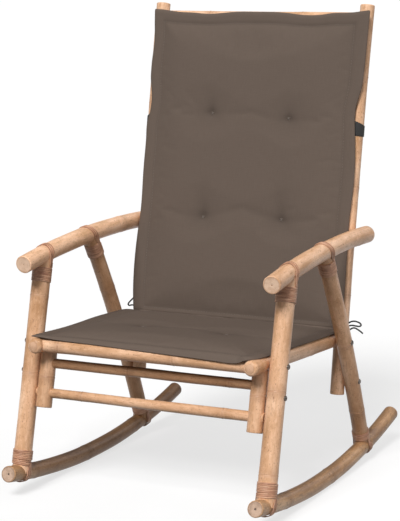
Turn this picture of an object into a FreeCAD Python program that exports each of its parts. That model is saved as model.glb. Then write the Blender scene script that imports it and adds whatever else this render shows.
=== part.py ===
import FreeCAD, Part
import math
import os

# Bamboo rocking chair with a tied-on high-back pad. Millimetres, +Z up, the front faces -Y.
# The origin is on the floor, under the middle of the chair's outline. Left and right are as
# seen from the front, so left is -X.

# Radii of the bamboo poles
rocker_radius = 17.0
arm_radius = 18.0
front_leg_radius = 18.5
rear_leg_radius = 16.5
side_rail_radius = 15.5
upright_radius = 15.0
post_radius = 15.5
seat_rail_radius = 13.5
top_rail_radius = 10.0
lower_back_rail_radius = 12.0
stretcher_radius = 10.0
seat_slat_radius = 9.0
back_slat_radius = 8.0

# Side frames: rockers, armrests and legs
frame_x = 267.0
rocker_reach = 376.0
rocker_curve = 1750.0
rocker_low_y = -32.0
arm_curve = 2760.0
arm_top_y = 101.5
arm_top_z = 490.0
arm_front_y = -302.5
arm_rear_y = 201.0
front_foot_inset = 51.0
front_leg_head_y = -223.0
rear_leg_foot_y = 199.0
rear_leg_head_y = -40.0
rear_leg_bow = 12.0
leg_seat = 8.0
end_chamfer = 1.5
pole_seam = 40.0

# Seat frame
seat_front_y = -325.0
seat_front_z = 303.0
seat_slope = 3.3
front_rail_setback = 24.0
rear_rail_setback = 377.0
seat_slat_count = 7
seat_slat_pitch = 60.0
slat_shoulder = 6.0
post_gap = 2.5
post_bottom_z = 173.0
post_seat = 11.0
upper_stretcher_z = 260.0
lower_stretcher_z = 202.0
stretcher_poke = 2.0

# Back frame
upright_foot_y = 124.98
upright_foot_z = 157.0
upright_top_y = 261.5
upright_top_z = 963.0
upright_bow = 8.0
upright_splay = 5.0
top_rail_drop = 25.0
lower_back_rail_z = 350.0
back_slat_count = 6
back_slat_pitch = 68.0

# Joints between poles
saddle_depth = 0.5
cope_gap = 0.2
fit_clearance = 0.15
tenon_end_gap = 1.0
rail_tenon_radius = 9.0
back_rail_tenon_radius = 7.0
stretcher_tenon_radius = 7.5
slat_tenon_radius = 4.5
dowel_radius = 5.0
dowel_in_leg = 26.0

# Leg screws
screw_radius = 3.0
screw_clearance = 0.25
screw_length = 56.0
screw_tip = 7.0
screw_tip_radius = 0.5
screw_head_radius = 5.2
screw_head_height = 3.6
screw_head_round = 1.8
screw_socket_flats = 4.0
screw_socket_depth = 1.8
screw_end_gap = 1.0
thread_clearance = 0.1
spot_depth = 1.0
spot_clearance = 0.4
rim_tolerance = 0.1
front_lower_screw_z = 242.0

# Rattan bindings
binding_radius = 1.2
binding_pitch = 3.2
binding_lift = 0.2
saddle_lift = 0.4
saddle_spread = 6.0
binding_bend = 3.2
slope_step = 1.0
saddle_loops = 3
front_head_turns = 9
front_foot_turns = 6
rear_head_turns = 7
rear_foot_turns = 5

# Pad
pad_half_width = 245.0
seat_pad_length = 447.0
back_pad_length = 663.0
flange_thickness = 5.0
flange_width = 26.0
pad_side_draw = 4.0
seat_end_draw = 4.0
back_end_draw = 10.0
seat_crown = 14.0
back_crown = 14.0
crown_edge = 1.5
crown_root = 1.0
crown_shoulder = 60.0
shoulder_share = 0.75
fold_flat = 10.0
fold_gap = 0.4
soft_gap = 0.3
tuft_x = 92.0
seat_tuft_along = 245.0
back_tuft_low = 208.0
back_tuft_high = 431.0
tuft_sphere = 45.0
tuft_depth = 6.0

# Elastic strap round the back and tie cords at the fold
strap_thickness = 1.5
strap_width = 26.0
strap_along = 412.0
strap_sewn = 14.0
tie_radius = 1.5
tie_arc_share = 0.45
tie_gap = 0.08
tie_first_run = 6.0
tie_along = 10.9

V = FreeCAD.Vector
X_AXIS = V(1, 0, 0)
STRAIGHT = 1e-6
HALVINGS = 60
HEX_SIDES = 6
GAP_SAMPLES = 5
GAP_BENDS = 3
SIDES = (("left", -1), ("right", 1))


def straight_pole(start, end, radius):
    return Part.makeCylinder(radius, (end - start).Length, start, end - start)


def bowed_pole(arc, radius, trim=0.0):
    """A round pole along an arc, shortened by trim at both ends."""
    step = trim / arc.Radius
    first = arc.FirstParameter + step
    last = arc.LastParameter - step
    centre = arc.value(first)
    tangent = arc.tangent(first)[0]
    spoke = FreeCAD.Rotation(tangent, pole_seam).multVec((centre - arc.Center).normalize()) * radius
    across = tangent.cross(spoke)
    halves = [Part.Arc(centre + spoke, centre + across, centre - spoke).toShape(),
              Part.Arc(centre - spoke, centre - across, centre + spoke).toShape()]
    disc = Part.Face(Part.Wire(halves))
    return disc.revolve(arc.Center, arc.Axis, math.degrees(last - first))


def chamfer_ends(pole, ends):
    """Breaks the rims of the cut ends whose centres are given."""
    rims = []
    for edge in pole.Edges:
        for end in ends:
            if isinstance(edge.Curve, Part.Circle) and (edge.Curve.Center - end).Length < end_chamfer:
                rims.append(edge)
    return pole.makeChamfer(end_chamfer, rims)


def carve(shape, cuts):
    """Takes the cutting shapes away one after the other."""
    for cut in cuts:
        shape = shape.cut(cut)
    return shape


def rocker_z(y):
    run = y - rocker_low_y
    return rocker_radius + rocker_curve - math.sqrt(rocker_curve ** 2 - run ** 2)


def arm_z(y):
    run = y - arm_top_y
    return arm_top_z - arm_curve + math.sqrt(arm_curve ** 2 - run ** 2)


def arc_at(x, ys, height):
    """An arc in the plane at x through three points of a height curve."""
    points = [V(x, y, height(y)) for y in ys]
    return Part.ArcOfCircle(*points)


def bowed_arc(start, end, bow, towards):
    """An arc from start to end whose middle stands off the chord by bow."""
    along = (end - start).normalize()
    sideways = towards - along * towards.dot(along)
    middle = (start + end) * 0.5 + sideways.normalize() * bow
    return Part.ArcOfCircle(start, middle, end)


def axis_at_z(arc, z):
    """The point of a bowed pole's axis at a height."""
    low = arc.FirstParameter
    high = arc.LastParameter
    rising = arc.value(high).z > arc.value(low).z
    for _ in range(HALVINGS):
        mid = (low + high) / 2
        if (arc.value(mid).z < z) == rising:
            low = mid
        else:
            high = mid
    return arc.value((low + high) / 2)


def solve_z(offset, low, high):
    """The height at which a steadily rising difference is zero."""
    for _ in range(HALVINGS):
        mid = (low + high) / 2
        if offset(mid) < 0:
            low = mid
        else:
            high = mid
    return (low + high) / 2


# Places worked out from the driving dimensions
rail_x = frame_x - front_leg_radius - side_rail_radius + saddle_depth
rear_leg_x = rail_x + side_rail_radius + rear_leg_radius - saddle_depth
upright_x = rear_leg_x - rear_leg_radius - upright_radius + saddle_depth
post_x = frame_x - front_leg_radius - post_gap - post_radius
front_leg_foot_y = front_foot_inset - rocker_reach
top_rail_z = upright_top_z - top_rail_drop
rocker_end_y = rocker_reach * rocker_curve / (rocker_curve + rocker_radius)
low_shift = rocker_low_y * rocker_radius / (rocker_curve + rocker_radius)

slope = math.radians(seat_slope)
seat_back = V(0, math.cos(slope), -math.sin(slope))
seat_up = V(0, math.sin(slope), math.cos(slope))


def seat_at(x, along, height):
    """A point of the seat: along runs back from the side rails' front ends."""
    return V(x, seat_front_y, seat_front_z) + seat_back * along + seat_up * height


def front_leg_at(x, z):
    foot_z = rocker_z(front_leg_foot_y)
    head_z = arm_z(front_leg_head_y)
    share = (z - foot_z) / (head_z - foot_z)
    return V(x, front_leg_foot_y + (front_leg_head_y - front_leg_foot_y) * share, z)


def rear_leg_arc(side):
    x = side * rear_leg_x
    foot = V(x, rear_leg_foot_y, rocker_z(rear_leg_foot_y))
    head = V(x, rear_leg_head_y, arm_z(rear_leg_head_y))
    return bowed_arc(foot, head, rear_leg_bow, V(0, 1, 0))


def upright_arc(side):
    foot = V(side * upright_x, upright_foot_y, upright_foot_z)
    top = V(side * (upright_x + upright_splay), upright_top_y, upright_top_z)
    return bowed_arc(foot, top, upright_bow, V(0, -1, 0))


def rocker_arc(side):
    ys = (-rocker_end_y + low_shift, rocker_low_y, rocker_end_y + low_shift)
    return arc_at(side * frame_x, ys, rocker_z)


def arm_arc(side):
    ys = (arm_front_y, (arm_front_y + arm_rear_y) / 2, arm_rear_y)
    return arc_at(side * frame_x, ys, arm_z)


def rail_z(y):
    return seat_front_z - (y - seat_front_y) * math.tan(slope)


# Where the leg screws pass, as points on the legs' axes
front_upper_screw_z = solve_z(lambda z: z - rail_z(front_leg_at(0, z).y), post_bottom_z, arm_top_z)
rear_arc = rear_leg_arc(1)
back_arc = upright_arc(1)
rear_upper_screw = axis_at_z(
    rear_arc, solve_z(lambda z: z - rail_z(axis_at_z(rear_arc, z).y), post_bottom_z, arm_top_z))
rear_lower_screw = axis_at_z(
    rear_arc, solve_z(lambda z: axis_at_z(back_arc, z).y - axis_at_z(rear_arc, z).y,
                      upright_foot_z, seat_front_z))
rail_meets_upright = axis_at_z(
    back_arc, solve_z(lambda z: z - rail_z(axis_at_z(back_arc, z).y), upright_foot_z, arm_top_z))

# Every screw: its y and z, and the x of the seat that its head is drawn down on
front_seat_x = frame_x + front_leg_radius - spot_depth
rear_seat_x = rear_leg_x + rear_leg_radius - spot_depth
screw_places = (
    (front_leg_at(0, front_upper_screw_z), front_seat_x),
    (front_leg_at(0, front_lower_screw_z), front_seat_x),
    (rear_upper_screw, rear_seat_x),
    (rear_lower_screw, rear_seat_x),
)


def screw_hole(side, screw, clearance):
    """A cutting shape for a screw's blind hole, open at the leg's outer side."""
    place, seat_x = screw
    outside = V(side * (seat_x + screw_head_height), place.y, place.z)
    bottom = V(side * (seat_x - screw_length - screw_end_gap), place.y, place.z)
    return straight_pole(outside, bottom, screw_radius + clearance)


def leg_holes(side, screws):
    """Cutting shapes for the clearance holes and head seats in a leg."""
    cuts = []
    for place, seat_x in screws:
        seat = V(side * seat_x, place.y, place.z)
        outside = V(side * (seat_x + screw_head_height), place.y, place.z)
        cuts.append(screw_hole(side, (place, seat_x), screw_clearance))
        cuts.append(straight_pole(seat, outside, screw_head_radius + spot_clearance))
    return cuts


def pilot_holes(side, screws):
    """Cutting shapes for the threaded holes in the pole behind a leg."""
    return [screw_hole(side, screw, thread_clearance) for screw in screws]


def hexagon(centre, flats, depth_vector):
    """A hexagonal prism across X, standing on centre."""
    corners = []
    for corner in range(HEX_SIDES + 1):
        angle = math.radians(360 / HEX_SIDES * corner)
        reach = flats / math.sqrt(3)
        corners.append(centre + V(0, reach * math.cos(angle), reach * math.sin(angle)))
    return Part.Face(Part.makePolygon(corners)).extrude(depth_vector)


def screw_set(side):
    """The domed, pointed screws of one side."""
    screws = []
    out = X_AXIS * side
    for place, seat_x in screw_places:
        seat = V(side * seat_x, place.y, place.z)
        head_top = seat + out * screw_head_height
        head = straight_pole(seat, head_top, screw_head_radius)
        rim = [e for e in head.Edges if (e.CenterOfMass - head_top).Length < rim_tolerance]
        head = head.makeFillet(screw_head_round, rim)
        socket_base = head_top - out * screw_socket_depth
        head = head.cut(hexagon(socket_base, screw_socket_flats, out * screw_head_height))
        point = seat - out * (screw_length - screw_tip)
        tip = Part.makeCone(screw_radius, screw_tip_radius, screw_tip, point, -out)
        screws.append(head.fuse([straight_pole(point, seat, screw_radius), tip]).removeSplitter())
    return screws


def leg_dowels(side):
    """Axis ends of the hidden dowels of one side: from the arm or rocker axis into the leg."""
    front_x = side * frame_x
    front_foot = front_leg_at(front_x, rocker_z(front_leg_foot_y))
    front_head = front_leg_at(front_x, arm_z(front_leg_head_y))
    front_way = (front_head - front_foot).normalize()
    arc = rear_leg_arc(side)
    foot_way = arc.tangent(arc.FirstParameter)[0]
    head_way = arc.tangent(arc.LastParameter)[0]
    return (
        (front_foot, front_way, rocker_radius),
        (front_head, -front_way, arm_radius),
        (arc.StartPoint, foot_way, rocker_radius),
        (arc.EndPoint, -head_way, arm_radius),
    )


def dowel(end, extra=0.0, grow=0.0):
    start, way, cover = end
    return straight_pole(start - way * extra, start + way * (cover + dowel_in_leg + extra), dowel_radius + grow)


def side_frame(side):
    """Rocker, armrest and two legs of one side."""
    dowels = leg_dowels(side)
    drilled = [dowel(end, tenon_end_gap, fit_clearance) for end in dowels]
    x = side * frame_x
    r_arc = rocker_arc(side)
    a_arc = arm_arc(side)
    rocker = chamfer_ends(bowed_pole(r_arc, rocker_radius), (r_arc.StartPoint, r_arc.EndPoint))
    arm = chamfer_ends(bowed_pole(a_arc, arm_radius), (a_arc.StartPoint, a_arc.EndPoint))
    upright_cover = bowed_pole(upright_arc(side), upright_radius + cope_gap)
    copes = [bowed_pole(r_arc, rocker_radius + cope_gap), bowed_pole(a_arc, arm_radius + cope_gap)]
    foot = front_leg_at(x, rocker_z(front_leg_foot_y))
    head = front_leg_at(x, arm_z(front_leg_head_y))
    way = (head - foot).normalize()
    front_leg = straight_pole(foot + way * leg_seat, head - way * leg_seat, front_leg_radius)
    front_leg = carve(front_leg, copes + drilled + leg_holes(side, screw_places[:2]))
    rear_leg = bowed_pole(rear_leg_arc(side), rear_leg_radius, leg_seat)
    rear_leg = carve(rear_leg, copes + drilled + leg_holes(side, screw_places[2:]))
    return {
        "rocker": carve(rocker, drilled),
        "armrest": carve(arm, drilled + [upright_cover]),
        "front_leg": front_leg,
        "rear_leg": rear_leg,
    }


def leg_covers(side):
    """The legs of one side, grown by the gap that a saddle keeps to them."""
    x = side * frame_x
    foot = front_leg_at(x, rocker_z(front_leg_foot_y))
    head = front_leg_at(x, arm_z(front_leg_head_y))
    front = straight_pole(foot, head, front_leg_radius + cope_gap)
    return [front, bowed_pole(rear_leg_arc(side), rear_leg_radius + cope_gap)]


def between(start, end, radius, tenon_radius, covers):
    """A pole coped against the covers at both ends, with a tenon running on to the end points."""
    body = carve(straight_pole(start, end, radius), covers)
    return body.fuse(straight_pole(start, end, tenon_radius)).removeSplitter()


def mortises(start, end, tenon_radius):
    """The hole for a tenoned pole, a little deeper than its tenons."""
    way = (end - start).normalize() * tenon_end_gap
    return straight_pole(start - way, end + way, tenon_radius + fit_clearance)


def seat_rail_ends(setback):
    return seat_at(-rail_x, setback, 0), seat_at(rail_x, setback, 0)


def stretcher_ends(z, reach):
    return front_leg_at(-reach, z), front_leg_at(reach, z)


def back_rail_ends(z):
    return axis_at_z(upright_arc(-1), z), axis_at_z(upright_arc(1), z)


def spread(count, pitch):
    return [pitch * (i - (count - 1) / 2) for i in range(count)]


seat_slat_height = side_rail_radius - seat_slat_radius
front_rail_line = seat_rail_ends(front_rail_setback)
rear_rail_line = seat_rail_ends(rear_rail_setback)
upper_stretcher_line = stretcher_ends(upper_stretcher_z, post_x)
lower_stretcher_line = stretcher_ends(lower_stretcher_z, post_x + post_radius + stretcher_poke)
top_rail_line = back_rail_ends(top_rail_z)
lower_back_rail_line = back_rail_ends(lower_back_rail_z)


def seat_slat_line(x):
    return seat_at(x, front_rail_setback, seat_slat_height), seat_at(x, rear_rail_setback, seat_slat_height)


def back_slat_line(x):
    low = V(x, lower_back_rail_line[0].y, lower_back_rail_line[0].z)
    return low, V(x, top_rail_line[0].y, top_rail_line[0].z)


def seat_frame():
    """Side rails, seat rails, slats, front posts and stretchers."""
    parts = {}
    slat_xs = spread(seat_slat_count, seat_slat_pitch)
    slat_holes = [mortises(*seat_slat_line(x), slat_tenon_radius) for x in slat_xs]
    rail_holes = [mortises(*line, rail_tenon_radius) for line in (front_rail_line, rear_rail_line)]
    rail_covers = []
    for name, side in SIDES:
        front = seat_at(side * rail_x, 0, 0)
        rear = V(side * rail_x, rail_meets_upright.y, rail_meets_upright.z)
        upright_cover = bowed_pole(upright_arc(side), upright_radius + cope_gap)
        body = chamfer_ends(straight_pole(front, rear, side_rail_radius), (front,)).cut(upright_cover)
        rail = body.fuse(straight_pole(front + seat_back * front_rail_setback, rear, rail_tenon_radius))
        cuts = leg_covers(side) + rail_holes + pilot_holes(side, screw_places[::2])
        parts[name + "_side_rail"] = carve(rail.removeSplitter(), cuts)
        rail_covers.append(straight_pole(front, rear, side_rail_radius + cope_gap))
    for name, line in (("front_seat_rail", front_rail_line), ("rear_seat_rail", rear_rail_line)):
        rail = between(*line, seat_rail_radius, rail_tenon_radius, rail_covers)
        parts[name] = carve(rail, slat_holes)
    seat_covers = [straight_pole(*line, seat_rail_radius + cope_gap)
                   for line in (front_rail_line, rear_rail_line)]
    for number, x in enumerate(slat_xs, 1):
        start, end = seat_slat_line(x)
        shoulder = seat_back * slat_shoulder
        body = carve(straight_pole(start + shoulder, end - shoulder, seat_slat_radius), seat_covers)
        slat = body.fuse(straight_pole(start, end, slat_tenon_radius))
        parts["seat_slat_%d" % number] = slat.removeSplitter()
    post_covers = []
    stretcher_holes = [mortises(*upper_stretcher_line, stretcher_tenon_radius),
                       mortises(*lower_stretcher_line, stretcher_tenon_radius)]
    for name, side in SIDES:
        foot = front_leg_at(side * post_x, post_bottom_z)
        head = front_leg_at(side * post_x, front_upper_screw_z - post_seat)
        post = chamfer_ends(straight_pole(foot, head, post_radius), (foot,))
        cuts = rail_covers + stretcher_holes + pilot_holes(side, screw_places[1:2])
        parts[name + "_front_post"] = carve(post, cuts)
        post_covers.append(straight_pole(foot, head, post_radius + cope_gap))
    parts["upper_stretcher"] = between(
        *upper_stretcher_line, stretcher_radius, stretcher_tenon_radius, post_covers)
    body = carve(straight_pole(*stretcher_ends(lower_stretcher_z, post_x), stretcher_radius), post_covers)
    tenon = straight_pole(*lower_stretcher_line, stretcher_tenon_radius)
    parts["lower_stretcher"] = body.fuse(tenon).removeSplitter()
    return parts


def back_frame():
    """Back uprights, cross rails and slats."""
    parts = {}
    slat_xs = spread(back_slat_count, back_slat_pitch)
    slat_holes = [mortises(*back_slat_line(x), slat_tenon_radius) for x in slat_xs]
    rail_holes = [mortises(*line, back_rail_tenon_radius) for line in (top_rail_line, lower_back_rail_line)]
    covers = []
    for name, side in SIDES:
        arc = upright_arc(side)
        upright = chamfer_ends(bowed_pole(arc, upright_radius), (arc.StartPoint, arc.EndPoint))
        rail_end = V(side * rail_x, rail_meets_upright.y, rail_meets_upright.z)
        socket = straight_pole(rail_end + seat_back * tenon_end_gap, rail_end - seat_back * upright_radius * 2,
                               rail_tenon_radius + fit_clearance)
        cuts = leg_covers(side)[1:] + rail_holes + [socket] + pilot_holes(side, screw_places[3:])
        parts[name + "_back_upright"] = carve(upright, cuts)
        covers.append(bowed_pole(arc, upright_radius + cope_gap))
    for name, line, radius in (("top_rail", top_rail_line, top_rail_radius),
                               ("lower_back_rail", lower_back_rail_line, lower_back_rail_radius)):
        parts[name] = carve(between(*line, radius, back_rail_tenon_radius, covers), slat_holes)
    rail_covers = [straight_pole(*top_rail_line, top_rail_radius + cope_gap),
                   straight_pole(*lower_back_rail_line, lower_back_rail_radius + cope_gap)]
    for number, x in enumerate(slat_xs, 1):
        parts["back_slat_%d" % number] = between(
            *back_slat_line(x), back_slat_radius, slat_tenon_radius, rail_covers)
    return parts


def arc_edge(start, tangent, end):
    """The circular arc, or the straight line, that leaves start along tangent and reaches end."""
    chord = end - start
    lean = tangent.getAngle(chord)
    if lean < STRAIGHT:
        return Part.LineSegment(start, end).toShape()
    rise = tangent - chord * (tangent.dot(chord) / chord.dot(chord))
    middle = (start + end) * 0.5 + rise.normalize() * (chord.Length / 2 * math.tan(lean / 2))
    return Part.Arc(start, middle, end).toShape()


def biarc(start, start_tangent, end, end_tangent):
    """Two arcs that join two points smoothly, with equal tangent lengths."""
    chord = end - start
    reach = chord.dot(start_tangent + end_tangent)
    square = 2 * (1 - start_tangent.dot(end_tangent))
    length = chord.dot(chord) / (reach + math.sqrt(reach ** 2 + square * chord.dot(chord)))
    leave = start + start_tangent * length
    arrive = end - end_tangent * length
    joint = (leave + arrive) * 0.5
    return [arc_edge(start, start_tangent, joint), arc_edge(joint, (arrive - leave).normalize(), end)]


def self_gap(edges):
    """The least distance between stretches of a strand that aren't neighbours along it."""
    samples = []
    run = 0.0
    for edge in edges:
        for point in edge.discretize(GAP_SAMPLES + 1)[1:]:
            run += edge.Length / GAP_SAMPLES
            samples.append((run, point))
    apart = [(p - q).Length for i, (a, p) in enumerate(samples) for b, q in samples[i:]
             if b - a > binding_bend * GAP_BENDS]
    return min(apart) - 2 * binding_radius


def binding(name, start, way, leg_x, leg_radius, host_radius, host_way, turns):
    """One unbroken rattan strand: saddle loops over the armrest or rocker, then turns round the leg.

    The strand is laid out in u along X, v towards the wide side of the joint and w down the leg.
    """
    tilt = host_way.dot(way)
    wide = host_way * (-1 if tilt > 0 else 1)
    ahead = (wide - way * wide.dot(way)).normalize()
    slant = abs(tilt) / math.sqrt(1 - tilt ** 2)
    leg_reach = leg_radius + binding_lift + binding_radius
    host_reach = host_radius + saddle_lift + binding_radius
    host_rise = host_reach * math.hypot(1, slant)
    host_u = frame_x - leg_x
    outer_reach = max(host_reach + host_u, leg_reach)
    inner_reach = max(host_reach - host_u, leg_reach)
    narrow_w = host_rise + leg_reach * slant
    wide_w = host_rise - leg_reach * slant
    first_w = max(narrow_w - saddle_loops * binding_pitch, wide_w)
    half_slope = binding_pitch / (math.pi * leg_reach)

    def at(u, v, w):
        return start + X_AXIS * u + ahead * v + way * w

    def towards(u, v, w):
        return (X_AXIS * u + ahead * v + way * w).normalize()

    stations = []
    for loop in range(saddle_loops):
        v = binding_pitch * ((saddle_loops - 1) / 2 - loop)
        w = first_w + binding_pitch * loop
        host_v = saddle_spread * ((saddle_loops - 1) / 2 - loop)
        host_w = -host_v * slant
        stations.append((at(leg_reach, v, w - binding_bend), towards(0, 0, -1)))
        stations.append((at(outer_reach, host_v, host_w), towards(0, 0, -1)))
        stations.append((at((outer_reach - inner_reach) / 2, host_v, host_w - host_rise), towards(-1, 0, 0)))
        stations.append((at(-inner_reach, host_v, host_w), towards(0, 0, 1)))
        stations.append((at(-leg_reach, v, w - binding_bend), towards(0, 0, 1)))
        turn = math.asin((v + binding_bend) / leg_reach)
        stations.append((at(-leg_reach * math.cos(turn), leg_reach * math.sin(turn), w),
                         towards(math.sin(turn), math.cos(turn), half_slope)))
        stations.append((at(0, leg_reach, w + binding_pitch / 2), towards(1, 0, half_slope)))
        if loop < saddle_loops - 1:
            turn = math.asin((v - binding_pitch + binding_bend) / leg_reach)
            stations.append((at(leg_reach * math.cos(turn), leg_reach * math.sin(turn), w + binding_pitch),
                             towards(math.sin(turn), -math.cos(turn), half_slope)))
    turns_w = first_w + binding_pitch * saddle_loops
    for quarter in range(turns * 4 + 1):
        angle = math.radians(-90 * quarter)
        stations.append((at(leg_reach * math.cos(angle), leg_reach * math.sin(angle),
                            turns_w + binding_pitch * quarter / 4),
                         towards(math.sin(angle), -math.cos(angle), half_slope / 2)))
    lead = 2 * binding_radius
    first = stations[0][0] - stations[0][1] * lead
    last = stations[-1][0] + stations[-1][1] * lead
    edges = [Part.LineSegment(first, stations[0][0]).toShape()]
    for here, there in zip(stations, stations[1:]):
        edges += biarc(*here, *there)
    edges.append(Part.LineSegment(stations[-1][0], last).toShape())
    path = Part.Wire(edges)
    ring = Part.Wire(Part.makeCircle(binding_radius, first, stations[0][1]))
    print("%s: least gap to itself %.2f mm, strand length %.0f mm" % (name, self_gap(edges), path.Length))
    return path.makePipeShell([ring], True, False)


def slope_way(y, height):
    return V(0, 2 * slope_step, height(y + slope_step) - height(y - slope_step)).normalize()


def bindings():
    """The eight rattan bindings, at both ends of every leg. The left ones mirror the right ones."""
    front_foot = front_leg_at(frame_x, rocker_z(front_leg_foot_y))
    front_head = front_leg_at(frame_x, arm_z(front_leg_head_y))
    front_way = (front_head - front_foot).normalize()
    near = (rear_leg_radius + rocker_radius) / rear_arc.Radius
    foot_near = rear_arc.value(rear_arc.FirstParameter + near)
    foot_far = rear_arc.value(rear_arc.FirstParameter + 2 * near)
    head_near = rear_arc.value(rear_arc.LastParameter - near)
    head_far = rear_arc.value(rear_arc.LastParameter - 2 * near)
    foot_way = (foot_far - foot_near).normalize()
    head_way = (head_far - head_near).normalize()
    rear_foot = foot_near * 2 - foot_far
    rear_head = head_near * 2 - head_far
    rocker_ways = (slope_way(front_leg_foot_y, rocker_z), slope_way(rear_leg_foot_y, rocker_z))
    arm_ways = (slope_way(front_leg_head_y, arm_z), slope_way(rear_leg_head_y, arm_z))
    ends = {
        "front_rocker": (front_foot, front_way, frame_x, front_leg_radius, rocker_radius, rocker_ways[0],
                         front_foot_turns),
        "front_arm": (front_head, -front_way, frame_x, front_leg_radius, arm_radius, arm_ways[0],
                      front_head_turns),
        "rear_rocker": (rear_foot, foot_way, rear_leg_x, rear_leg_radius, rocker_radius, rocker_ways[1],
                        rear_foot_turns),
        "rear_arm": (rear_head, head_way, rear_leg_x, rear_leg_radius, arm_radius, arm_ways[1],
                     rear_head_turns),
    }
    parts = {}
    for place, values in ends.items():
        strand = binding(place + "_binding", *values)
        parts["right_%s_binding" % place] = strand
        parts["left_%s_binding" % place] = strand.mirror(V(0, 0, 0), X_AXIS)
    return parts


# The pad's two panels lie on the seat plane and on a plane in front of the back uprights
back_foot = V(0, upright_foot_y, upright_foot_z)
back_top = V(0, upright_top_y, upright_top_z)
back_rise = (back_top - back_foot).normalize()
back_front = V(0, -back_rise.z, back_rise.y)
back_pad_offset = upright_bow + upright_radius + strap_thickness + 2 * soft_gap
seat_pad_offset = side_rail_radius + soft_gap


def fold_point():
    """Where the top of the seat panel's flange meets the front of the back panel's flange."""
    on_seat = seat_at(0, 0, seat_pad_offset + flange_thickness)
    on_back = back_foot + back_front * (back_pad_offset + flange_thickness)
    reach = back_front.dot(on_back - on_seat) / back_front.dot(seat_back)
    return on_seat + seat_back * reach


fold = fold_point()


def panel_point(along_way, face_way, x, along, height):
    """A point of a pad panel: along from the fold, height over the flange's showing face."""
    return fold + along_way * along + face_way * height + X_AXIS * x


def pad_panel(along_way, face_way, length, end_draw, crown, tufts):
    """A flanged pad panel with a crowned core, drawn-in sides and sewn tufts."""
    def at(x, along, height):
        return panel_point(along_way, face_way, x, along, height)

    low = -flange_thickness
    wide = pad_half_width
    corners = [at(-wide, fold_gap, low), at(wide, fold_gap, low), at(wide, length, low), at(-wide, length, low)]
    outline = Part.Wire([
        Part.LineSegment(corners[0], corners[1]).toShape(),
        Part.Arc(corners[1], at(wide - pad_side_draw, length / 2, low), corners[2]).toShape(),
        Part.Arc(corners[2], at(0, length - end_draw, low), corners[3]).toShape(),
        Part.Arc(corners[3], at(-wide + pad_side_draw, length / 2, low), corners[0]).toShape(),
    ])
    flange = Part.Face(outline).extrude(face_way * flange_thickness)
    half = wide - flange_width
    near = fold_flat
    far = length - flange_width
    stations = ((near, crown_edge), (near + crown_shoulder, crown * shoulder_share), ((near + far) / 2, crown),
                (far - crown_shoulder, crown * shoulder_share), (far, crown_edge))
    sections = []
    for along, rise in stations:
        left = at(-half, along, -crown_root)
        right = at(half, along, -crown_root)
        arch = Part.Arc(left, at(0, along, rise), right).toShape()
        sections.append(Part.Wire([arch, Part.LineSegment(right, left).toShape()]))
    core = Part.makeLoft(sections, True)
    panel = flange.fuse(core).removeSplitter()
    for x, along in tufts:
        line = Part.makeLine(at(x, along, 0), at(x, along, crown * 2))
        surface = line.common(panel).BoundBox
        top = (surface.Center - at(x, along, 0)).Length * 2
        panel = panel.cut(Part.makeSphere(tuft_sphere, at(x, along, top + tuft_sphere - tuft_depth)))
    return panel


def pad():
    seat_tufts = [(-tuft_x, seat_tuft_along), (tuft_x, seat_tuft_along)]
    back_tufts = [(x, along) for x in (-tuft_x, tuft_x) for along in (back_tuft_low, back_tuft_high)]
    return {
        "seat_pad": pad_panel(-seat_back, seat_up, seat_pad_length, seat_end_draw, seat_crown, seat_tufts),
        "back_pad": pad_panel(back_rise, back_front, back_pad_length, back_end_draw, back_crown, back_tufts),
    }


def elastic_strap():
    """A flat band sewn behind the pad's two edges and drawn round both back uprights."""
    centre_z = (fold + back_rise * strap_along).z
    post = axis_at_z(upright_arc(1), centre_z)
    ahead = (post - back_foot).dot(back_front)
    up = (post - back_foot).dot(back_rise) - strap_width / 2

    def at(x, out):
        return back_foot + back_rise * up + back_front * (ahead + out) + X_AXIS * x

    inner = upright_radius + soft_gap
    outer = inner + strap_thickness
    outline = Part.Wire([
        Part.LineSegment(at(post.x - strap_sewn, inner), at(post.x, inner)).toShape(),
        Part.Arc(at(post.x, inner), at(post.x + inner, 0), at(post.x, -inner)).toShape(),
        Part.LineSegment(at(post.x, -inner), at(-post.x, -inner)).toShape(),
        Part.Arc(at(-post.x, -inner), at(-post.x - inner, 0), at(-post.x, inner)).toShape(),
        Part.LineSegment(at(-post.x, inner), at(strap_sewn - post.x, inner)).toShape(),
        Part.LineSegment(at(strap_sewn - post.x, inner), at(strap_sewn - post.x, outer)).toShape(),
        Part.LineSegment(at(strap_sewn - post.x, outer), at(-post.x, outer)).toShape(),
        Part.Arc(at(-post.x, outer), at(-post.x - outer, 0), at(-post.x, -outer)).toShape(),
        Part.LineSegment(at(-post.x, -outer), at(post.x, -outer)).toShape(),
        Part.Arc(at(post.x, -outer), at(post.x + outer, 0), at(post.x, outer)).toShape(),
        Part.LineSegment(at(post.x, outer), at(post.x - strap_sewn, outer)).toShape(),
        Part.LineSegment(at(post.x - strap_sewn, outer), at(post.x - strap_sewn, inner)).toShape(),
    ])
    return Part.Face(outline).extrude(back_rise * strap_width)


def tie_exit(side, along, out):
    """Out from the middle of the back panel's flange edge, where a tie cord is sewn on."""
    half = back_pad_length / 2
    draw = pad_side_draw * (1 - ((along - half) / half) ** 2)
    x = side * (pad_half_width - draw + tie_gap + out)
    return panel_point(back_rise, back_front, x, along, -flange_thickness / 2)


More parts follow.
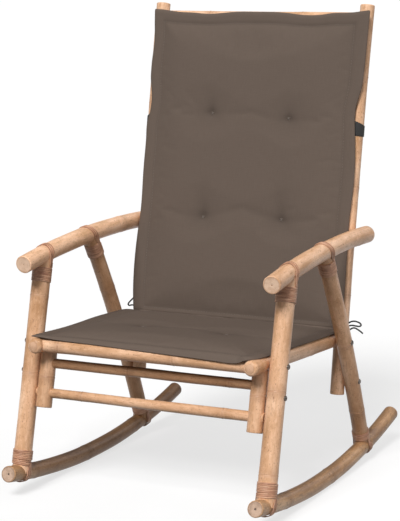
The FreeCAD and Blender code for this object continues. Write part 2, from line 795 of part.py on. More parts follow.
# Routes of the tie cords: out of the pad's edge at the fold and past the upright's outer side.
# The right one ends in a bow loop and a tail, the left one in a folded loop.
right_tie_route = (
    tie_exit(1, tie_along, 0), tie_exit(1, tie_along, tie_first_run), V(255.5, 127.5, 309.5),
    V(257, 140, 311.5), V(259.5, 156, 310), V(262.5, 168, 306), V(266, 173.5, 302.5), V(269.5, 170, 298.5),
    V(270, 156, 299), V(268.5, 140.5, 303), V(265.5, 130.5, 306), V(262.5, 119, 307.5), V(261.5, 109, 307.5),
    V(263.5, 103, 304.5), V(267.5, 104.5, 301), V(268.5, 114, 302.5), V(269.5, 128.5, 302),
    V(271, 146, 294.5), V(271.5, 162, 287), V(271.5, 172, 282),
)
left_tie_route = (
    tie_exit(-1, tie_along, 0), tie_exit(-1, tie_along, tie_first_run), V(-257, 123.5, 306),
    V(-262, 126, 308.5), V(-261.5, 134.5, 313), V(-259, 141.5, 317.5), V(-257, 150, 322.5),
    V(-256, 159.5, 323.5), V(-255.5, 169, 321.5),
)


def tie_cord(name, route):
    """A round cord along straight runs joined by tangent arcs."""
    edges = []
    radii = []
    start = route[0]
    for before, corner, after in zip(route, route[1:], route[2:]):
        into = (corner - before).normalize()
        away = (after - corner).normalize()
        half_turn = into.getAngle(away) / 2
        setback = tie_arc_share * min((corner - before).Length, (after - corner).Length)
        radii.append(setback / math.tan(half_turn))
        entry = corner - into * setback
        leave = corner + away * setback
        edges.append(Part.LineSegment(start, entry).toShape())
        edges.append(arc_edge(entry, into, leave))
        start = leave
    edges.append(Part.LineSegment(start, route[-1]).toShape())
    path = Part.Wire(edges)
    ring = Part.Wire(Part.makeCircle(tie_radius, route[0], route[1] - route[0]))
    tube = path.makePipeShell([ring], True, False)
    section = math.pi * tie_radius ** 2
    print("%s: length %.1f mm, volume over section times length %.4f, bend radii %s"
          % (name, path.Length, tube.Volume / (section * path.Length), [round(r, 1) for r in radii]))
    return tube


def build():
    parts = {}
    screws = []
    dowels = []
    for name, side in SIDES:
        for piece, shape in side_frame(side).items():
            parts["%s_%s" % (name, piece)] = shape
        screws += screw_set(side)
        dowels += [dowel(end) for end in leg_dowels(side)]
    parts.update(bindings())
    parts.update(seat_frame())
    parts.update(back_frame())
    parts["leg_screws"] = Part.makeCompound(screws)
    parts["leg_dowels"] = Part.makeCompound(dowels)
    parts.update(pad())
    parts["elastic_strap"] = elastic_strap()
    parts["right_tie"] = tie_cord("right_tie", right_tie_route)
    parts["left_tie"] = tie_cord("left_tie", left_tie_route)
    return parts


os.makedirs("parts", exist_ok=True)
for node, shape in build().items():
    shape.exportStep("parts/%s.step" % node)
print("fold at y %.2f, z %.2f" % (fold.y, fold.z))
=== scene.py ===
import math

import bpy
import numpy as np
from mathutils import Matrix, Vector


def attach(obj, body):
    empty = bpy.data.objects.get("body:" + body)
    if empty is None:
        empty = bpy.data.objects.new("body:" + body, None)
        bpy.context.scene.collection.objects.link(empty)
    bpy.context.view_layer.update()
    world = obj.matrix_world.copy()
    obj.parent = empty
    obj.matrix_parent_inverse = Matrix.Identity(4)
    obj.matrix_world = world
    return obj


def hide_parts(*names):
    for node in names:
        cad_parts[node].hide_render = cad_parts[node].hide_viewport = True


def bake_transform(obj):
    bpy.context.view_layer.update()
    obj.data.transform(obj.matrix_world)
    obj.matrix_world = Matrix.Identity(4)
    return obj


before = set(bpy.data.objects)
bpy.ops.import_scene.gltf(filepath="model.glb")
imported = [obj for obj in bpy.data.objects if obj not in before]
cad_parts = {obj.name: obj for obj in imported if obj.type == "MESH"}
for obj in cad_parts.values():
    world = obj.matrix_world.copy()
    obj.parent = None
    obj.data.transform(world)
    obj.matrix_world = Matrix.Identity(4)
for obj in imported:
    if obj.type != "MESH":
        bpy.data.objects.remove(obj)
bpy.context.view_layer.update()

# Lengths are in millimetres, in the CAD frame: +Z up, the front faces -Y, left is -X
MM = 0.001
SIDES = (("left", -1), ("right", 1))

# Camera of the photo
CAMERA_AT = (1541.885, -3266.426, 1034.895)
CAMERA_RIGHT = (0.90164137, 0.43248450, 0.0)
CAMERA_DOWN = (0.06991580, -0.14576008, -0.98684638)
CAMERA_AHEAD = (-0.42679577, 0.88978152, -0.16166081)
CAMERA_LENS = 122.38
CAMERA_SENSOR = 36.0
CAMERA_CLIP = 200.0

# Bamboo poles
ROCKER_R = 17.0
ARM_R = 18.0
FRONT_LEG_R = 18.5
REAR_LEG_R = 16.5
SIDE_RAIL_R = 15.5
UPRIGHT_R = 15.0
POST_R = 15.5
SEAT_RAIL_R = 13.5
TOP_RAIL_R = 10.0
BACK_RAIL_R = 12.0
STRETCHER_R = 10.0
SEAT_SLAT_R = 9.0
BACK_SLAT_R = 8.0
FRAME_X = 267.0
RAIL_X = 233.5
REAR_LEG_X = 265.0
UPRIGHT_X = 234.0
UPRIGHT_SPLAY = 5.0
POST_X = 230.5
ROCKER_CURVE = 1750.0
ROCKER_LOW_Y = -32.0
ROCKER_YS = (-372.69, 372.07)
ARM_CURVE = 2760.0
ARM_TOP = (101.5, 490.0)
ARM_YS = (-302.5, 201.0)
FRONT_LEG_YS = (-325.0, -223.0)
REAR_LEG_YS = (199.0, -40.0)
REAR_LEG_BOW = 12.0
UPRIGHT_FOOT = (124.98, 157.0)
UPRIGHT_TOP = (261.5, 963.0)
UPRIGHT_BOW = 8.0
SEAT_FRONT = (-325.0, 303.0)
SEAT_SLOPE = math.radians(3.3)
FRONT_RAIL_ALONG = 24.0
REAR_RAIL_ALONG = 377.0
RAIL_REAR_ALONG = 466.8
SEAT_SLAT_LIFT = SIDE_RAIL_R - SEAT_SLAT_R
SEAT_SLAT_XS = (-180.0, -120.0, -60.0, 0.0, 60.0, 120.0, 180.0)
BACK_SLAT_XS = (-170.0, -102.0, -34.0, 34.0, 102.0, 170.0)
POST_BOTTOM_Z = 173.0
POST_TOP_Z = 289.0
UPPER_STRETCHER_Z = 260.0
LOWER_STRETCHER_Z = 202.0
STRETCHER_POKE = 2.0
TOP_RAIL_Z = 938.0
BACK_RAIL_Z = 350.0

# Pad: two panels that meet at the fold
FOLD = np.array([0.0, 118.38, 298.27])
SEAT_AHEAD = np.array([0.0, -math.cos(SEAT_SLOPE), math.sin(SEAT_SLOPE)])
SEAT_UP = np.array([0.0, math.sin(SEAT_SLOPE), math.cos(SEAT_SLOPE)])
BACK_RISE = np.array([0.0, 0.166997, 0.985957])
BACK_FRONT = np.array([0.0, -0.985957, 0.166997])

X_AXIS = np.array([1.0, 0.0, 0.0])


def unit(vector):
    return vector / np.linalg.norm(vector)


def units(vectors):
    return vectors / np.linalg.norm(vectors, axis=1)[:, None]


def runs_of(points):
    """Length of a line up to each of its points."""
    return np.concatenate([[0.0], np.cumsum(np.linalg.norm(np.diff(points, axis=0), axis=1))])


def point_at(value, values, line):
    """The point of a line where the values kept for its points reach a value."""
    return np.array([np.interp(value, values, line[:, axis]) for axis in range(3)])


def tube_quads(index, outward=True):
    """Faces between closed rings of points, one ring in each row of the index."""
    after = np.roll(index, -1, axis=1)
    quads = np.stack([index[:-1], after[:-1], after[1:], index[1:]], axis=-1).reshape(-1, 4)
    return quads if outward else quads[:, [0, 3, 2, 1]]


def sheet_quads(index):
    corners = [index[:-1, :-1], index[:-1, 1:], index[1:, 1:], index[1:, :-1]]
    return np.stack(corners, axis=-1).reshape(-1, 4)


def rocker_z(y):
    return ROCKER_R + ROCKER_CURVE - np.sqrt(ROCKER_CURVE ** 2 - (y - ROCKER_LOW_Y) ** 2)


def arm_z(y):
    return ARM_TOP[1] - ARM_CURVE + np.sqrt(ARM_CURVE ** 2 - (y - ARM_TOP[0]) ** 2)


def seat_at(x, along, height):
    return np.array([x, *SEAT_FRONT]) - SEAT_AHEAD * along + SEAT_UP * height


def front_leg_at(x, z):
    foot, head = (rocker_z(FRONT_LEG_YS[0]), arm_z(FRONT_LEG_YS[1]))
    share = (z - foot) / (head - foot)
    return np.array([x, FRONT_LEG_YS[0] + (FRONT_LEG_YS[1] - FRONT_LEG_YS[0]) * share, z])


def bowed(start, end, bow, towards):
    """Points of a shallow bow between two ends."""
    start, end = np.array(start), np.array(end)
    along = unit(end - start)
    towards = np.array(towards, float)
    sideways = unit(towards - along * (towards @ along))
    shares = np.linspace(0, 1, 121)[:, None]
    return start + (end - start) * shares + sideways * bow * 4 * shares * (1 - shares)


def straight(start, end):
    return np.array([start, end], float)


def upright_line(side):
    return bowed((side * UPRIGHT_X, *UPRIGHT_FOOT), (side * (UPRIGHT_X + UPRIGHT_SPLAY), *UPRIGHT_TOP),
                 UPRIGHT_BOW, (0, -1, 0))


def upright_at_z(side, z):
    line = upright_line(side)
    return point_at(z, line[:, 2], line)


def rear_leg_line(side):
    x = side * REAR_LEG_X
    foot = (x, REAR_LEG_YS[0], rocker_z(REAR_LEG_YS[0]))
    head = (x, REAR_LEG_YS[1], arm_z(REAR_LEG_YS[1]))
    return bowed(foot, head, REAR_LEG_BOW, (0, 1, 0))


def height_line(x, ys, height):
    y = np.linspace(*ys, 161)
    return np.stack([np.full_like(y, x), y, height(y)], axis=1)


# Node trees of the materials
def new_material(name):
    material = bpy.data.materials.new(name)
    material.use_nodes = True
    return material, material.node_tree, material.node_tree.nodes["Principled BSDF"]


def put(tree, kind, settings=(), inputs=()):
    node = tree.nodes.new(kind)
    for key, value in dict(settings).items():
        setattr(node, key, value)
    for key, value in dict(inputs).items():
        if isinstance(value, bpy.types.NodeSocket):
            tree.links.new(value, node.inputs[key])
        else:
            node.inputs[key].default_value = value
    return node


def attribute(tree, name, output="Fac"):
    return put(tree, "ShaderNodeAttribute", {"attribute_name": name}).outputs[output]


def stretched(tree, vector, scale):
    return put(tree, "ShaderNodeVectorMath", {"operation": "MULTIPLY"}, {0: vector, 1: scale}).outputs[0]


def noise(tree, vector, scale=1.0, detail=3.0, roughness=0.55):
    return put(tree, "ShaderNodeTexNoise", (), {
        "Vector": vector, "Scale": scale, "Detail": detail, "Roughness": roughness}).outputs["Fac"]


def math_node(tree, operation, first, second=0.0, clamp=False):
    return put(tree, "ShaderNodeMath", {"operation": operation, "use_clamp": clamp},
               {0: first, 1: second}).outputs[0]


def ranged(tree, value, low, high, to_low, to_high, smooth=True):
    return put(tree, "ShaderNodeMapRange",
               {"interpolation_type": "SMOOTHSTEP" if smooth else "LINEAR", "clamp": True},
               {"Value": value, "From Min": low, "From Max": high, "To Min": to_low, "To Max": to_high}
               ).outputs["Result"]


def ramp(tree, value, stops):
    node = put(tree, "ShaderNodeValToRGB", (), {"Fac": value})
    elements = node.color_ramp.elements
    elements[0].position, elements[0].color = stops[0][0], (*stops[0][1], 1.0)
    elements[1].position, elements[1].color = stops[-1][0], (*stops[-1][1], 1.0)
    for position, colour in stops[1:-1]:
        elements.new(position).color = (*colour, 1.0)
    return node.outputs["Color"]


def mixed(tree, factor, first, second, blend="MIX"):
    node = put(tree, "ShaderNodeMix", {"data_type": "RGBA", "blend_type": blend})
    for key, value in ((0, factor), (6, first), (7, second)):
        if isinstance(value, bpy.types.NodeSocket):
            tree.links.new(value, node.inputs[key])
        else:
            node.inputs[key].default_value = (*value, 1.0) if key else value
    return node.outputs[2]


def bump(tree, shader, height, strength, distance):
    node = put(tree, "ShaderNodeBump", (), {"Height": height, "Strength": strength, "Distance": distance})
    tree.links.new(node.outputs["Normal"], shader.inputs["Normal"])


def surface(tree, shader, colour, roughness):
    tree.links.new(colour, shader.inputs["Base Color"])
    tree.links.new(roughness, shader.inputs["Roughness"])


def bamboo_material(name, deep, middle, light, speck, ring, spots, pale_spots, scar_at=None):
    """Varnished cane: long fibres, mottling, flecks, spots, and stained joints by the node attribute."""
    material, tree, shader = new_material(name)
    pole = attribute(tree, "pole", "Vector")
    fibre = noise(tree, stretched(tree, pole, (820.0, 820.0, 13.0)), detail=4.0, roughness=0.6)
    blotch = noise(tree, stretched(tree, pole, (34.0, 34.0, 9.0)), detail=3.0)
    mottle = noise(tree, stretched(tree, pole, (170.0, 170.0, 75.0)), detail=4.0, roughness=0.65)
    fleck = noise(tree, stretched(tree, pole, (260.0, 260.0, 42.0)), detail=2.0)
    colour = ramp(tree, blotch, ((0.3, deep), (0.5, middle), (0.68, light)))
    colour = mixed(tree, ranged(tree, fibre, 0.35, 0.62, 0.3, 0.0), colour, deep)
    colour = mixed(tree, ranged(tree, mottle, 0.3, 0.5, 0.5, 0.0), colour, deep)
    colour = mixed(tree, ranged(tree, mottle, 0.52, 0.72, 0.0, 0.45), colour, light)
    colour = mixed(tree, ranged(tree, fleck, 0.64, 0.74, 0.0, 0.4), colour, speck)
    stipple = noise(tree, stretched(tree, pole, (330.0, 330.0, 250.0)), detail=3.0, roughness=0.6)
    colour = mixed(tree, ranged(tree, stipple, 0.58, 0.7, 0.0, 0.5), colour, speck)
    gap = attribute(tree, "node")
    stain = ranged(tree, gap, 0.0, 0.022, 0.46, 0.0)
    stain = math_node(tree, "MULTIPLY", stain, ranged(tree, blotch, 0.35, 0.65, 0.15, 1.0))
    colour = mixed(tree, stain, colour, ring)
    pale = ranged(tree, gap, 0.002, 0.006, 0.2, 0.0)
    colour = mixed(tree, pale, colour, light)
    line = ranged(tree, gap, 0.0004, 0.0028, 0.42, 0.0)
    line = math_node(tree, "MULTIPLY", line, ranged(tree, blotch, 0.35, 0.6, 0.4, 1.0))
    colour = mixed(tree, line, colour, ring)
    cells = put(tree, "ShaderNodeTexVoronoi", (), {"Vector": stretched(tree, pole, (150.0, 150.0, 95.0)),
                                                   "Scale": 1.0})
    picked = put(tree, "ShaderNodeSeparateColor", (), {0: cells.outputs["Color"]}).outputs[0]
    round_spot = ranged(tree, cells.outputs["Distance"], 0.1, 0.26, 1.0, 0.0)
    spot = math_node(tree, "MULTIPLY", round_spot, ranged(tree, picked, 0.8, 0.86, 0.0, spots))
    colour = mixed(tree, spot, colour, speck)
    pale_spot = math_node(tree, "MULTIPLY", round_spot, ranged(tree, picked, 0.14, 0.2, pale_spots, 0.0))
    colour = mixed(tree, pale_spot, colour, light)
    if scar_at is not None:
        place = put(tree, "ShaderNodeTexCoord").outputs["Object"]
        offset = put(tree, "ShaderNodeVectorMath", {"operation": "SUBTRACT"},
                     {0: place, 1: scar_at}).outputs[0]
        oval = put(tree, "ShaderNodeVectorMath", {"operation": "LENGTH"},
                   {0: stretched(tree, offset, (1.0, 0.62, 1.0))}).outputs["Value"]
        rim = math_node(tree, "MULTIPLY", ranged(tree, oval, 0.0026, 0.0038, 0.0, 0.75),
                        ranged(tree, oval, 0.0042, 0.006, 1.0, 0.0))
        colour = mixed(tree, rim, colour, speck)
        colour = mixed(tree, ranged(tree, oval, 0.0006, 0.0018, 0.6, 0.0), colour, speck)
    # per-internode tone scales the colour, darker tones browner; on some poles it carries painted light and
    # painted shade
    shade = ranged(tree, attribute(tree, "tone"), -1.0, 1.0, 0.5, 1.2, smooth=False)
    shades = {number: math_node(tree, "POWER", shade, power) for number, power in enumerate((1.0, 1.2, 1.5))}
    tint = put(tree, "ShaderNodeCombineColor", (), shades).outputs[0]
    colour = mixed(tree, 1.0, colour, tint, "MULTIPLY")
    surface(tree, shader, colour, ranged(tree, fibre, 0.3, 0.7, 0.5, 0.36))
    shader.inputs["Specular IOR Level"].default_value = 0.35
    shader.inputs["Coat Weight"].default_value = 0.06
    shader.inputs["Coat Roughness"].default_value = 0.35
    relief = math_node(tree, "ADD", fibre, ranged(tree, fleck, 0.62, 0.74, 0.0, -0.6))
    bump(tree, shader, relief, 0.35, 0.0004)
    return material


def cut_end_material(name, rim, body, pith, hole):
    """Sawn end grain: pale core dotted with fibre bundles, faint rings, a pith hole and a darker rim."""
    material, tree, shader = new_material(name)
    pole = attribute(tree, "pole", "Vector")
    radial = attribute(tree, "radial")
    blotch = noise(tree, stretched(tree, pole, (90.0, 90.0, 90.0)), detail=3.0)
    wavy = math_node(tree, "ADD", radial, ranged(tree, blotch, 0.3, 0.7, -0.06, 0.06))
    # the pith colour fills the hole; on the rocker ends it is near black, as painted shade of a deep hollow
    colour = ramp(tree, wavy, ((0.0, pith), (hole, pith), (hole + 0.07, body), (0.84, body), (1.0, rim)))
    rings = math_node(tree, "SINE", math_node(tree, "MULTIPLY", wavy, 34.0))
    colour = mixed(tree, ranged(tree, rings, 0.2, 1.0, 0.0, 0.28), colour, rim)
    dots = put(tree, "ShaderNodeTexVoronoi", (), {"Vector": pole, "Scale": 900.0}).outputs["Distance"]
    colour = mixed(tree, ranged(tree, dots, 0.1, 0.34, 0.5, 0.0), colour, rim)
    colour = mixed(tree, ranged(tree, blotch, 0.42, 0.7, 0.0, 0.6), colour, rim)
    surface(tree, shader, colour, ranged(tree, blotch, 0.3, 0.7, 0.55, 0.75))
    bump(tree, shader, dots, 0.3, 0.0005)
    return material


def rattan_material(name):
    """Split-cane strand: glossy skin with long streaks and a few pale scuffs."""
    material, tree, shader = new_material(name)
    strand = attribute(tree, "pole", "Vector")
    streak = noise(tree, stretched(tree, strand, (1400.0, 1400.0, 28.0)), detail=4.0)
    blotch = noise(tree, stretched(tree, strand, (60.0, 60.0, 22.0)), detail=2.0)
    colour = ramp(tree, blotch, ((0.32, (0.32, 0.145, 0.082)), (0.5, (0.53, 0.285, 0.172)),
                                 (0.68, (0.74, 0.455, 0.300))))
    colour = mixed(tree, ranged(tree, streak, 0.35, 0.6, 0.45, 0.0), colour, (0.25, 0.098, 0.055))
    surface(tree, shader, colour, ranged(tree, streak, 0.3, 0.7, 0.55, 0.38))
    bump(tree, shader, streak, 0.4, 0.0003)
    return material


def fabric_material(name, dark, light, crease_shade_colour):
    """Plain-woven cover: crossing threads with slubs, a matt melange, and painted shade in tufts, creases and
    seam.
    """
    material, tree, shader = new_material(name)
    cloth = attribute(tree, "cloth", "Vector")
    axes = put(tree, "ShaderNodeSeparateXYZ", (), {0: cloth})
    warp = math_node(tree, "SINE", math_node(tree, "MULTIPLY", axes.outputs[0], 5200.0))
    weft = math_node(tree, "SINE", math_node(tree, "MULTIPLY", axes.outputs[1], 5200.0))
    weave = math_node(tree, "MULTIPLY", warp, weft)
    slub_x = noise(tree, stretched(tree, cloth, (900.0, 40.0, 900.0)), detail=2.0)
    slub_y = noise(tree, stretched(tree, cloth, (40.0, 900.0, 900.0)), detail=2.0)
    slub = math_node(tree, "ADD", slub_x, slub_y)
    wash = noise(tree, cloth, scale=9.0, detail=4.0)
    colour = ramp(tree, math_node(tree, "MULTIPLY", slub, 0.5), ((0.36, dark), (0.64, light)))
    colour = mixed(tree, ranged(tree, wash, 0.35, 0.7, 0.0, 0.25), colour, light)
    # painted shade: the cloth darkens towards the third colour in the tufts, creases and seam
    colour = mixed(tree, attribute(tree, "crease_shade"), colour, crease_shade_colour)
    surface(tree, shader, colour, ranged(tree, slub, 0.7, 1.3, 0.95, 0.8))
    shader.inputs["Specular IOR Level"].default_value = 0.08
    relief = math_node(tree, "ADD", math_node(tree, "MULTIPLY", weave, 0.3), slub)
    bump(tree, shader, relief, 0.09, 0.0004)
    return material


def steel_material(name):
    """Bronzed steel with turning marks and patchy wear."""
    material, tree, shader = new_material(name)
    place = put(tree, "ShaderNodeTexCoord").outputs["Object"]
    grain = noise(tree, stretched(tree, place, (60.0, 900.0, 900.0)), detail=3.0)
    wear = noise(tree, place, scale=140.0, detail=4.0)
    colour = ramp(tree, wear, ((0.35, (0.10, 0.085, 0.075)), (0.6, (0.20, 0.17, 0.15)),
                               (0.75, (0.36, 0.31, 0.27))))
    surface(tree, shader, colour, ranged(tree, grain, 0.3, 0.7, 0.3, 0.5))
    shader.inputs["Metallic"].default_value = 1.0
    bump(tree, shader, grain, 0.2, 0.0002)
    return material


def dowel_material(name):
    """Turned hardwood: fine grain along the upright axis with darker pores."""
    material, tree, shader = new_material(name)
    place = put(tree, "ShaderNodeTexCoord").outputs["Object"]
    grain = noise(tree, stretched(tree, place, (600.0, 600.0, 40.0)), detail=4.0)
    pores = noise(tree, stretched(tree, place, (1500.0, 1500.0, 120.0)), detail=2.0)
    colour = ramp(tree, grain, ((0.35, (0.42, 0.25, 0.13)), (0.65, (0.66, 0.44, 0.26))))
    colour = mixed(tree, ranged(tree, pores, 0.6, 0.72, 0.0, 0.5), colour, (0.24, 0.13, 0.06))
    surface(tree, shader, colour, ranged(tree, grain, 0.3, 0.7, 0.6, 0.45))
    bump(tree, shader, grain, 0.3, 0.0003)
    return material


def webbing_material(name, colour_low, colour_high, ribs):
    """Dark knitted elastic or cord: fine ribs along the first axis of its cloth attribute."""
    material, tree, shader = new_material(name)
    cloth = attribute(tree, "cloth", "Vector")
    axes = put(tree, "ShaderNodeSeparateXYZ", (), {0: cloth})
    rib = math_node(tree, "SINE", math_node(tree, "MULTIPLY", axes.outputs[0], ribs))
    knit = noise(tree, stretched(tree, cloth, (600.0, 1500.0, 600.0)), detail=2.0)
    relief = math_node(tree, "ADD", math_node(tree, "MULTIPLY", rib, 0.35), knit)
    tree.links.new(ramp(tree, relief, ((0.2, colour_low), (0.9, colour_high))), shader.inputs["Base Color"])
    tree.links.new(ranged(tree, knit, 0.3, 0.7, 0.9, 0.7), shader.inputs["Roughness"])
    bump(tree, shader, relief, 0.5, 0.0004)
    return material


def cord_material(name):
    """Black braided cord."""
    material, tree, shader = new_material(name)
    place = put(tree, "ShaderNodeTexCoord").outputs["Object"]
    braid = noise(tree, place, scale=1100.0, detail=2.0)
    tree.links.new(ramp(tree, braid, ((0.3, (0.006, 0.006, 0.006)), (0.7, (0.026, 0.025, 0.024)))),
                   shader.inputs["Base Color"])
    tree.links.new(ranged(tree, braid, 0.3, 0.7, 0.85, 0.6), shader.inputs["Roughness"])
    bump(tree, shader, braid, 0.6, 0.0004)
    return material


SCAR_AT = (0.2773, -0.2937, 0.0252)
BAMBOO = bamboo_material("bamboo_skin", (0.50, 0.265, 0.125), (0.76, 0.450, 0.268), (0.92, 0.605, 0.405),
                         (0.24, 0.100, 0.045), (0.32, 0.140, 0.065), 0.5, 0.3)
ROCKER_BAMBOO = bamboo_material("rocker_bamboo_skin", (0.28, 0.148, 0.074), (0.50, 0.275, 0.128),
                                (0.68, 0.412, 0.220), (0.12, 0.058, 0.030), (0.16, 0.078, 0.040), 0.75, 0.6,
                                SCAR_AT)
SLAT_BAMBOO = bamboo_material("slat_bamboo_skin", (0.50, 0.265, 0.125), (0.74, 0.435, 0.245),
                              (0.90, 0.580, 0.370), (0.24, 0.100, 0.045), (0.32, 0.140, 0.065), 0.4, 0.2)
CUT_END = cut_end_material("cut_cane_end", (0.56, 0.330, 0.200), (0.80, 0.560, 0.400), (0.42, 0.23, 0.13),
                           0.03)
# painted shade: the near-black pith colour stands in for the shade inside a deep hollow at the rocker ends
ROCKER_END = cut_end_material("rocker_cane_end", (0.30, 0.190, 0.130), (0.60, 0.415, 0.300),
                              (0.03, 0.016, 0.010), 0.1)
ROUND_END = cut_end_material("rounded_cane_end", (0.46, 0.250, 0.140), (0.66, 0.400, 0.250),
                             (0.40, 0.21, 0.11), 0.02)
RATTAN = rattan_material("rattan_strand")
# the last colour is the painted shade of the tufts, creases and seam
FABRIC = fabric_material("pad_cover", (0.120, 0.091, 0.0735), (0.131, 0.0995, 0.0805), (0.050, 0.038, 0.031))
THREAD = webbing_material("sewing_thread", (0.10, 0.08, 0.066), (0.22, 0.18, 0.15), 9000.0)
ELASTIC = webbing_material("elastic_webbing", (0.008, 0.008, 0.008), (0.036, 0.034, 0.033), 4200.0)
CORD = cord_material("tie_cord_braid")
STEEL = steel_material("bronzed_steel")
DOWEL_WOOD = dowel_material("dowel_hardwood")


def add_object(name, mesh):
    obj = bpy.data.objects.new(name, mesh)
    bpy.context.scene.collection.objects.link(obj)
    return obj


def add_mesh(name, vertices, faces, materials, face_materials=None, attributes=()):
    """A smooth-shaded mesh from points in millimetres, with float or vector point attributes."""
    mesh = bpy.data.meshes.new(name)
    mesh.from_pydata((np.asarray(vertices) * MM).tolist(), [], faces)
    for material in materials:
        mesh.materials.append(material)
    if face_materials is not None:
        mesh.polygons.foreach_set("material_index", face_materials)
    for key, values in dict(attributes).items():
        values = np.asarray(values, np.float32)
        vector = values.ndim == 2
        layer = mesh.attributes.new(key, "FLOAT_VECTOR" if vector else "FLOAT", "POINT")
        layer.data.foreach_set("vector" if vector else "value", values.ravel())
    mesh.polygons.foreach_set("use_smooth", [True] * len(mesh.polygons))
    mesh.update()
    return add_object(name, mesh)


def drop(obj):
    mesh = obj.data
    bpy.data.objects.remove(obj)
    bpy.data.meshes.remove(mesh)


def take_place(obj, body, nodes):
    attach(obj, body)
    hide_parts(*nodes)
    return obj


# Tie cords: the CAD routes, as smooth curves
TIE_R = 1.7
TIE_STEPS = 12
TIE_ROUND = 4
TIE_ROUTES = {
    "right": (
        (244.82, 122.67, 308.60), (250.82, 122.67, 308.60), (255.5, 127.5, 309.5), (257, 140, 311.5),
        (259.5, 156, 310), (262.5, 168, 306), (266, 173.5, 302.5), (269.5, 170, 298.5), (270, 156, 299),
        (268.5, 140.5, 303), (265.5, 130.5, 306), (262.5, 119, 307.5), (261.5, 109, 307.5),
        (263.5, 103, 304.5), (267.5, 104.5, 301), (268.5, 114, 302.5), (269.5, 128.5, 302), (271, 146, 294.5),
        (271.5, 162, 287), (271.5, 172, 282)),
    "left": (
        (-244.82, 122.67, 308.60), (-250.82, 122.67, 308.60), (-257, 123.5, 306), (-262, 126, 308.5),
        (-261.5, 134.5, 313), (-259, 141.5, 317.5), (-257, 150, 322.5), (-256, 159.5, 323.5),
        (-255.5, 169, 321.5)),
}


def tie_cord(name, route):
    curve = bpy.data.curves.new(name, "CURVE")
    curve.dimensions = "3D"
    spline = curve.splines.new("NURBS")
    spline.points.add(len(route) - 1)
    for point, place in zip(spline.points, route):
        point.co = (place[0] * MM, place[1] * MM, place[2] * MM, 1.0)
    spline.order_u = 3
    spline.use_endpoint_u = True
    spline.resolution_u = TIE_STEPS
    obj = add_object(name, curve)
    bare = bpy.data.meshes.new_from_object(obj)
    line = np.array([vertex.co for vertex in bare.vertices])
    bpy.data.meshes.remove(bare)
    curve.bevel_depth = TIE_R * MM
    curve.bevel_resolution = TIE_ROUND
    curve.use_fill_caps = True
    curve.materials.append(CORD)
    return obj, line, float(np.linalg.norm(np.diff(line, axis=0), axis=1).sum())


for side_name, _ in SIDES:
    tie, tie_line, tie_length = tie_cord(side_name + "_tie_cord", TIE_ROUTES[side_name])
    take_place(tie, "chair", [side_name + "_tie"])

# Bamboo poles
POLE_SIDES = 32
NODE_STEPS = (-11.0, -7.0, -4.5, -3.0, -2.0, -1.2, -0.6, 0.0, 0.6, 1.2, 2.0, 3.0, 4.5, 7.0, 11.0)
SAWN_STEPS = ((0.0, 1.5), (0.25, 0.8), (0.8, 0.25), (1.6, 0.0))
ROUND_STEPS = ((0.0, 6.0), (0.6, 4.2), (1.6, 2.6), (3.2, 1.2), (5.5, 0.3), (8.0, 0.0))
CAP_SHARES = (0.93, 0.8, 0.62, 0.44, 0.27, 0.12)
NODE_FAR = 30.0
POLE_SLIM = 0.15
TONE_SPREAD = 0.22
ROCKER_SLIM = 0.6
POST_FULL = 0.8
NO_FADE = (0.0, 0.0, 1.0)
CROOK = 0.35
STOP_GAP = 6.0
STOP_NEAR = 0.15
FIRST_SEED = 11
SEED_STEP = 7
END_STYLES = {
    "sawn": (SAWN_STEPS, -0.5, -1.2, CUT_END),
    "pithy": (SAWN_STEPS, -0.5, -4.0, ROCKER_END),
    "round": (ROUND_STEPS, 1.4, 1.5, ROUND_END),
}


def smooth_step(low, high, value):
    t = np.clip((value - low) / (high - low), 0, 1)
    return t * t * (3 - 2 * t)


